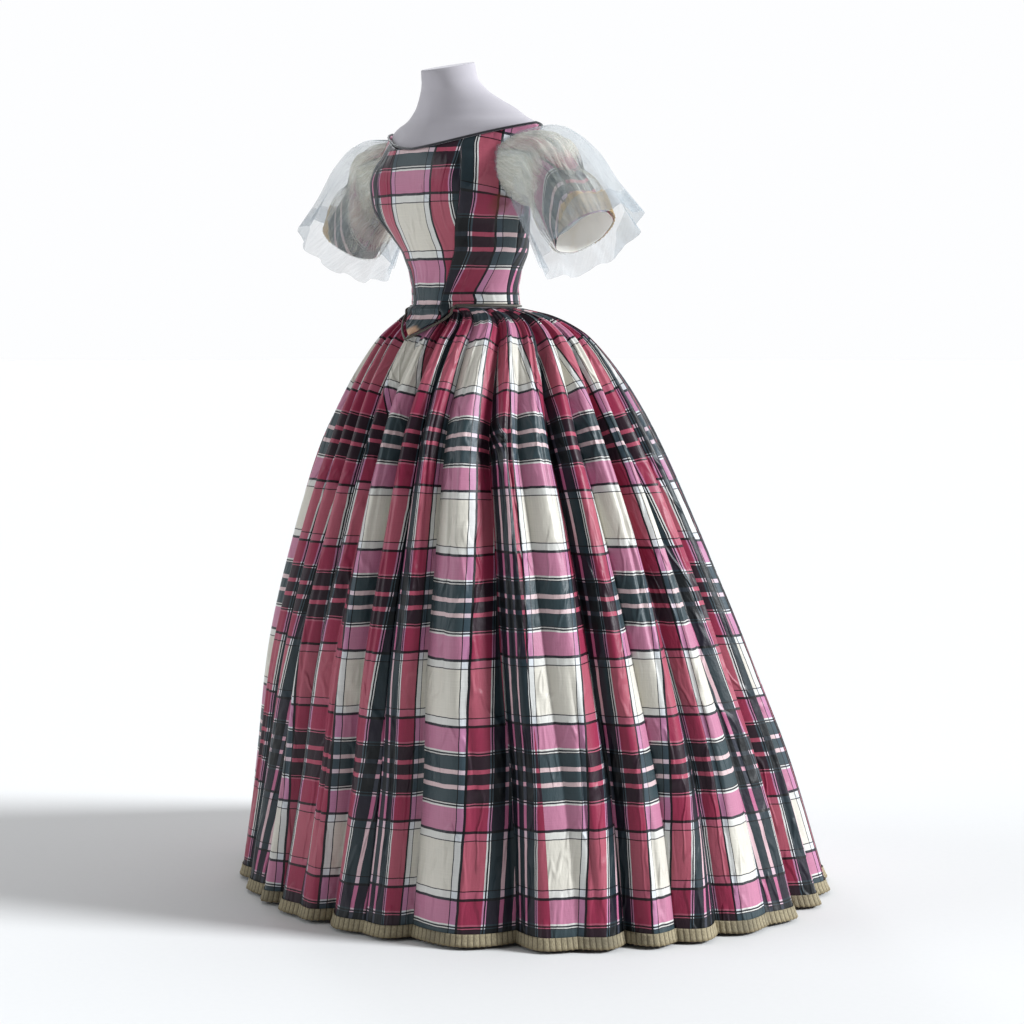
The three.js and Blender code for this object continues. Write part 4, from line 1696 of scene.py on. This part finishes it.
UNDER_SLEEVE = SleeveLayer(
    word="tartan_sleeve",
    node="sleeve",
    slot=Slot.TARTAN,
    rings=(
        SleeveRing(165, 28, 36, 60, 56),
        SleeveRing(120, 4, 47, 49, 48),
        SleeveRing(75, 0, 51, 50, 51),
        SleeveRing(24, 0, 53, 53, 53),
    ),
    grow=0.97,
    off=1.5,
    columns=120,
    rows=60,
    wall=0.8,
    sheet=Sheet((0.33, 0.21), Held.GATHERED, ("form_smooth",)),
)
GAUZE_SLEEVE = SleeveLayer(
    word="gauze_sleeve",
    node="sleeve_gauze",
    slot=Slot.GAUZE,
    rings=(
        SleeveRing(168, 32, 46, 68, 63),
        SleeveRing(146, 14, 58, 61, 61),
        SleeveRing(120, 3, 52, 54, 53),
        SleeveRing(92, 0, 62, 60, 62),
        SleeveRing(58, 0, 62, 61, 62),
        SleeveRing(24, 0, 57, 57, 57),
    ),
    grow=1.03,
    off=1.2,
    columns=240,
    rows=80,
    wall=0.3,
    sheet=Sheet((0.42, 0.22), Held.GATHERED, ("form_smooth",)),
)
ORGANZA_FRILL = SleeveLayer(
    word="organza_frill",
    node="sleeve_frill",
    slot=Slot.ORGANZA,
    rings=(
        SleeveRing(172, 34, 58, 76, 74),
        SleeveRing(130, 10, 86, 76, 84),
        SleeveRing(70, 0, 88, 80, 86),
        SleeveRing(0, 0, 93, 88, 92),
    ),
    grow=1.08,
    off=1.6,
    columns=216,
    rows=72,
    wall=0.3,
    sheet=Sheet((0.56, 0.25), Held.GATHERED, ("form_smooth",)),
    waves=9,
    swing=7.0,
)


@dataclass
class Sleeve:
    """Short sleeves in three layers: tartan, puffed gauze and a stiff sheer bell."""

    end: tuple[float, float, float] = (300.0, WAIST_Y - 10.0, 1133.0)
    line: tuple[float, float, float] = (-0.616, 0.0, 0.788)
    upper: tuple[float, float, float] = (0.788, 0.0, 0.616)
    wave_shift: float = 9.0
    cream_across: float = 66.0
    cream_down: float = 18.0

    def armhole(self, turn: np.ndarray, grow: float, off: float) -> np.ndarray:
        """The loop round the armhole: turn 0 is at the shoulder and 90 in front."""
        angle = np.radians(turn)
        azimuth = ARMHOLE_AZIMUTH - ARMHOLE_HALF_ANGLE * grow * np.sin(angle)
        height = ARMHOLE_HEIGHT + ARMHOLE_HALF_HEIGHT * grow * np.cos(angle)
        normal = BODICE_STACK.normal(azimuth, height)
        return BODICE_STACK.point(azimuth, height) + normal * off

    def ring(self, ring: SleeveRing, turn: np.ndarray, wave: np.ndarray) -> np.ndarray:
        """One ring of a layer."""
        c, s = np.cos(np.radians(turn)), np.sin(np.radians(turn))
        line, upper = np.array(self.line), np.array(self.upper)
        reach = np.where(c > 0, ring.upper, ring.under) + wave
        point = np.array(self.end) + line * (ring.along + ring.slant * c)[:, None]
        point = point + upper * (reach * c)[:, None]
        point[:, 1] -= (ring.breadth + wave) * s
        return point

    def loops(self, layer: SleeveLayer, turn: np.ndarray) -> np.ndarray:
        """The rings of a layer from the armhole to its end, of shape (rings, columns, 3)."""
        count = len(layer.rings)
        made = [self.armhole(turn, layer.grow, layer.off)]
        for number, ring in enumerate(layer.rings, start=1):
            swell = layer.swing * (number / count) ** 3
            wave = swell * np.sin(np.radians(turn * layer.waves + number * self.wave_shift))
            made.append(self.ring(ring, turn, wave))
        return np.array(made)

    def ruffle(self, layer: SleeveLayer, turn: np.ndarray, share: np.ndarray) -> np.ndarray:
        """Height of the gathers outside the layer's smooth form.

        Args:
            layer: The layer.
            turn: Turns of the columns, in degrees.
            share: Shares of the rows from the armhole to the end.

        Returns:
            Heights of shape (rows, columns).
        """
        t, s = np.meshgrid(np.radians(turn), share)
        if layer is GAUZE_SLEEVE:
            drawn = swell_at(s, 0.5, 0.1) + 0.7 * swell_at(s, 0, 0.12) + 0.7 * swell_at(s, 1, 0.1)
            fine = np.sin(41 * t + 1.3 * np.sin(5 * t)) + 0.6 * np.sin(67 * t + 2.0 * s)
            broad = np.sin(13 * t + 3.0 * s + np.sin(4 * t)) + 0.6 * np.sin(23 * t - 4.0 * s)
            return 1.2 * drawn * fine + 1.7 * np.sin(np.pi * (2 * s % 1.0)) * broad
        if layer is ORGANZA_FRILL:
            broad = np.sin(14 * t + 1.4 * np.sin(3 * t) + 2.0 * s)
            fine = np.sin(33 * t + 2.0 * np.sin(2 * t) - 3.0 * s)
            return 2.2 * s * broad + 0.9 * (0.5 + swell_at(s, 0, 0.2)) * fine
        soft = np.sin(11 * t + np.sin(3 * t)) * swell_at(s, 0, 0.25)
        return 1.4 * soft + 0.9 * np.sin(7 * t + 5 * s)

    def cloth(self, layer: SleeveLayer, points: np.ndarray) -> np.ndarray:
        """Places on the cloth: round the sleeve, and down from the armhole."""
        walked = run_lengths(points, 1)
        middle = walked[:, [walked.shape[1] // 2]]
        down = run_lengths(points[::-1], 0)[::-1]
        if layer is UNDER_SLEEVE:
            across = walked - middle + self.cream_across
            return np.stack([across, down - self.cream_down], axis=-1)
        return np.stack([walked, down], axis=-1)

    def build(self, finishes: Finishes) -> None:
        """Builds the three layers on both sides."""
        dress = {
            UNDER_SLEEVE.word: finishes.tartan,
            GAUZE_SLEEVE.word: finishes.gauze,
            ORGANZA_FRILL.word: finishes.organza,
        }
        for layer in (UNDER_SLEEVE, GAUZE_SLEEVE, ORGANZA_FRILL):
            turn = np.linspace(0, 360, layer.columns + 1)
            share = np.linspace(1, 0, layer.rows + 1)
            loops = self.loops(layer, turn)
            places = np.arange(len(loops), dtype=float)
            points = smooth_curve(places, loops, share * (len(loops) - 1))
            normals = grid_normals(points, True)
            points = points + normals * self.ruffle(layer, turn, share)[..., None]
            cloth = self.cloth(layer, points)
            for side in Side:
                placed, laid = points[:, ::-1], cloth[:, ::-1]
                if side is Side.RIGHT:
                    placed, laid = points * np.array([-1.0, 1.0, 1.0]), cloth
                GridPiece(
                    name=f"{layer.word}_{side.word}",
                    nodes=(f"{layer.node}_{side.word}",),
                    slot=layer.slot,
                    points=placed,
                    cloth=laid,
                    wraps=True,
                    thickness=layer.wall,
                    sheet=layer.sheet,
                ).build(dress[layer.word], finishes.lining if layer is UNDER_SLEEVE else None)


# Dress form and stand


@dataclass
class DressForm:
    """The limbless form: hips, the torso inside the bodice, shoulders, neck and flat cap."""

    inset: float = 4.6
    back_inset: float = 5.6
    shoulder_inset: float = 9.0
    shoulder_height: float = 1200.0
    bottom: float = 850.0
    cap_height: float = 1441.0
    cap_tilt: float = 0.22
    tilted_from: float = 1395.0
    cap_rises: tuple[float, ...] = (0.9, 1.1, 1.1, 1.1)
    columns: int = 120
    rows: int = 150
    hips: tuple[Section, ...] = (
        Section(850, 128, 112, 120, 12, 2.2),
        Section(905, 126, 108, 116, 10, 2.2),
        Section(955, 114, 98, 104, 6, 2.1),
        Section(1000, 96, 89, 90, 2),
        Section(1024, 89, 89, 88, 1),
    )
    neck: tuple[Section, ...] = (
        Section(1342, 158, 86, 74, -6, 1.5),
        Section(1353, 132, 84, 78, -4, 1.5),
        Section(1369, 105, 80, 77, -6, 1.55),
        Section(1386, 78, 67, 66, -16, 1.8),
        Section(1402, 60, 53, 54, -29),
        Section(1419, 49, 47, 47, -39),
        Section(1441, 46, 46, 46, -43),
    )
    worn: tuple[float, ...] = (
        1036, 1060, 1090, 1120, 1150, 1180, 1208, 1240, 1266, 1295, 1318, 1332,
    )

    def stack(self) -> SectionStack:
        """The sections of the form, drawn in from the bodice where it is worn."""
        rows = list(self.hips)
        for height in self.worn:
            s = BODICE_STACK.level(height)
            high = height > self.shoulder_height
            side = s.side - (self.shoulder_inset if high else self.inset)
            back = s.back - (self.shoulder_inset if high else self.back_inset)
            rows.append(Section(height, side, s.front - self.inset, back, s.centre, s.round))
        return SectionStack([*rows, *self.neck])

    def build(self, finishes: Finishes) -> None:
        """Builds the form as one closed, smooth piece, and dresses the stand."""
        stack = self.stack()
        azimuth = np.linspace(0, 360, self.columns + 1)
        heights = np.linspace(self.bottom, self.cap_height, self.rows)
        turn, height = np.meshgrid(azimuth, heights)
        wall = stack.point(turn, height)
        centre = WAIST_Y + stack.level(self.cap_height).centre
        tilt = self.cap_tilt * ease(self.tilted_from, self.cap_height, height)
        wall[..., 2] += tilt * (wall[..., 1] - centre)
        bottom, top = wall[0], wall[-1]
        rim = top.mean(axis=0)
        floor = bottom.mean(axis=0)
        under = [floor + (bottom - floor) * share for share in (0.0, 0.5, 0.97)]
        cap = [rim + (top - rim) * share for share in (0.975, 0.9, 0.5, 0.0)]
        for ring, rise in zip(cap, self.cap_rises):
            ring[:, 2] += rise
        points = np.concatenate([np.array(under), wall, np.array(cap)])
        cloth = np.stack([run_lengths(points, 1), run_lengths(points, 0)], axis=-1)
        GridPiece(
            name="form_smooth",
            nodes=("dress_form",),
            slot=Slot.FORM,
            points=points,
            cloth=cloth,
            wraps=True,
            thickness=0.0,
        ).build(finishes.cover)
        for name in ("form_pole", "form_base"):
            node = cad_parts[name]
            node.data.materials.clear()
            node.data.materials.append(finishes.steel)


# Studio


@dataclass(frozen=True)
class Lamp:
    """A soft light from one side, which lights gown and floor evenly.

    Its direction is where it stands as seen from the gown; its spread is in degrees.
    """

    name: str
    direction: tuple[float, float, float]
    spread: float
    strength: float


@dataclass
class Studio:
    """Floor, backdrop, light and camera.

    Lengths are in metres, apart from the sensor in millimetres. The surround is bright on one
    side and dim on the other, and falls off between two cosines of the angle to the bright side.
    """

    floor_half: float = 200.0
    paper: tuple[Colour, Colour] = ((0.75, 0.75, 0.745), (0.77, 0.77, 0.765))
    backdrop_reach: float = 60.0
    backdrop_segments: tuple[int, int] = (64, 32)
    backdrop: Colour = (0.985, 0.99, 1.0)
    camera_place: tuple[float, float, float] = (2.6870, -2.8440, 1.0)
    camera_forward: tuple[float, float, float] = (-0.68948, 0.71921, -0.08578)
    lens_pixels: float = 2170.2
    image_pixels: float = 1024.0
    sensor: float = 36.0
    sight: float = 500.0
    lamp_distance: float = 3.0
    lamp_colour: Colour = (0.93, 0.965, 1.0)
    lamps: tuple[Lamp, ...] = (
        Lamp("Key lamp", (0.90, 0.53, 0.58), 14.0, 4.6),
        Lamp("Rim lamp", (-0.80, 0.45, 0.45), 12.0, 0.35),
        Lamp("Fill lamp", (-0.62, -0.74, 0.36), 40.0, 1.15),
    )
    bright_side: tuple[float, float, float] = (-0.35, 0.93, 0.10)
    bright: float = 0.97
    dim: float = 0.12
    falls_off: tuple[float, float] = (-0.35, 0.7)
    surround_colour: Colour = (0.97, 0.985, 1.0)

    def build(self) -> None:
        """Sets the studio."""
        self.lay_floor()
        self.hang_backdrop()
        self.hang_lamps()
        self.set_camera()

    def lay_floor(self) -> None:
        """Lays the plain pale floor."""
        shell = bmesh.new()
        bmesh.ops.create_grid(shell, x_segments=1, y_segments=1, size=self.floor_half)
        mesh = new_mesh("Studio floor", shell)
        board = Board("Studio paper")
        grain = board.noise(board.object_place(), 90.0, 2.0)
        pale = board.mix(*self.paper, grain)
        mesh.materials.append(board.dress(Base_Color=pale, Roughness=0.95, Specular_IOR_Level=0.1))
        floor = new_object("studio_floor", mesh)

    def hang_backdrop(self) -> None:
        """Hangs a plain pale wall all round, far off; it is seen and lights nothing."""
        shell = bmesh.new()
        around, upwards = self.backdrop_segments
        bmesh.ops.create_uvsphere(
            shell, u_segments=around, v_segments=upwards, radius=self.backdrop_reach
        )
        mesh = new_mesh("Studio backdrop", shell)
        board = Board("Pale backdrop")
        mesh.materials.append(
            board.dress(
                Base_Color=(0.0, 0.0, 0.0),
                Specular_IOR_Level=0.0,
                Emission_Color=self.backdrop,
                Emission_Strength=1.0,
            )
        )
        wall = new_object("studio_backdrop", mesh)
        for ray in ("diffuse", "glossy", "transmission", "volume_scatter", "shadow"):
            setattr(wall, f"visible_{ray}", False)

    def hang_lamps(self) -> None:
        """Hangs the lamps, and sets the surround and the way colours are shown."""
        scene = bpy.context.scene
        for lamp in self.lamps:
            light = bpy.data.lights.new(lamp.name, "SUN")
            light.energy = lamp.strength
            light.angle = math.radians(lamp.spread)
            light.color = self.lamp_colour
            holder = new_object(lamp.name, light)
            holder.location = Vector(lamp.direction) * self.lamp_distance
            holder.rotation_euler = Vector(lamp.direction).to_track_quat("Z", "Y").to_euler()
        scene.world = self.surround()
        scene.view_settings.view_transform = "Standard"

    def surround(self) -> bpy.types.World:
        """The light of the white wall behind the gown, falling off to the dim room in front."""
        world = bpy.data.worlds.new("Studio surround")
        world.use_nodes = True
        tree = world.node_tree
        place = tree.nodes.new("ShaderNodeTexCoord")
        facing = tree.nodes.new("ShaderNodeVectorMath")
        facing.operation = "DOT_PRODUCT"
        facing.inputs[1].default_value = self.bright_side
        fall = tree.nodes.new("ShaderNodeMapRange")
        fall.interpolation_type = "SMOOTHSTEP"
        keys = ("From Min", "From Max", "To Min", "To Max")
        for key, value in zip(keys, (*self.falls_off, self.dim, self.bright)):
            fall.inputs[key].default_value = value
        background = tree.nodes["Background"]
        background.inputs["Color"].default_value = (*self.surround_colour, 1.0)
        tree.links.new(place.outputs["Generated"], facing.inputs[0])
        tree.links.new(facing.outputs["Value"], fall.inputs["Value"])
        tree.links.new(fall.outputs["Result"], background.inputs["Strength"])
        return world

    def set_camera(self) -> None:
        """Stands the camera where the photograph was taken from."""
        camera = bpy.data.cameras.new("Camera")
        camera.sensor_width = self.sensor
        camera.lens = self.lens_pixels / self.image_pixels * self.sensor
        camera.clip_end = self.sight
        holder = new_object("Camera", camera)
        holder.location = self.camera_place
        holder.rotation_mode = "QUATERNION"
        holder.rotation_quaternion = Vector(self.camera_forward).to_track_quat("-Z", "Y")
        bpy.context.scene.camera = holder


def main() -> None:
    """Builds the gown on its form, piece by piece, then the studio."""
    logging.basicConfig(level=logging.INFO, format="%(name)s: %(message)s")
    finishes = Finishes()
    DressForm().build(finishes)
    skirt = Skirt()
    skirt.build(finishes)
    HemBraid(skirt).build(finishes)
    Bodice().build(finishes)
    Pipings().build(finishes)
    Sleeve().build(finishes)
    Studio().build()


if __name__ == "__main__":
    main()
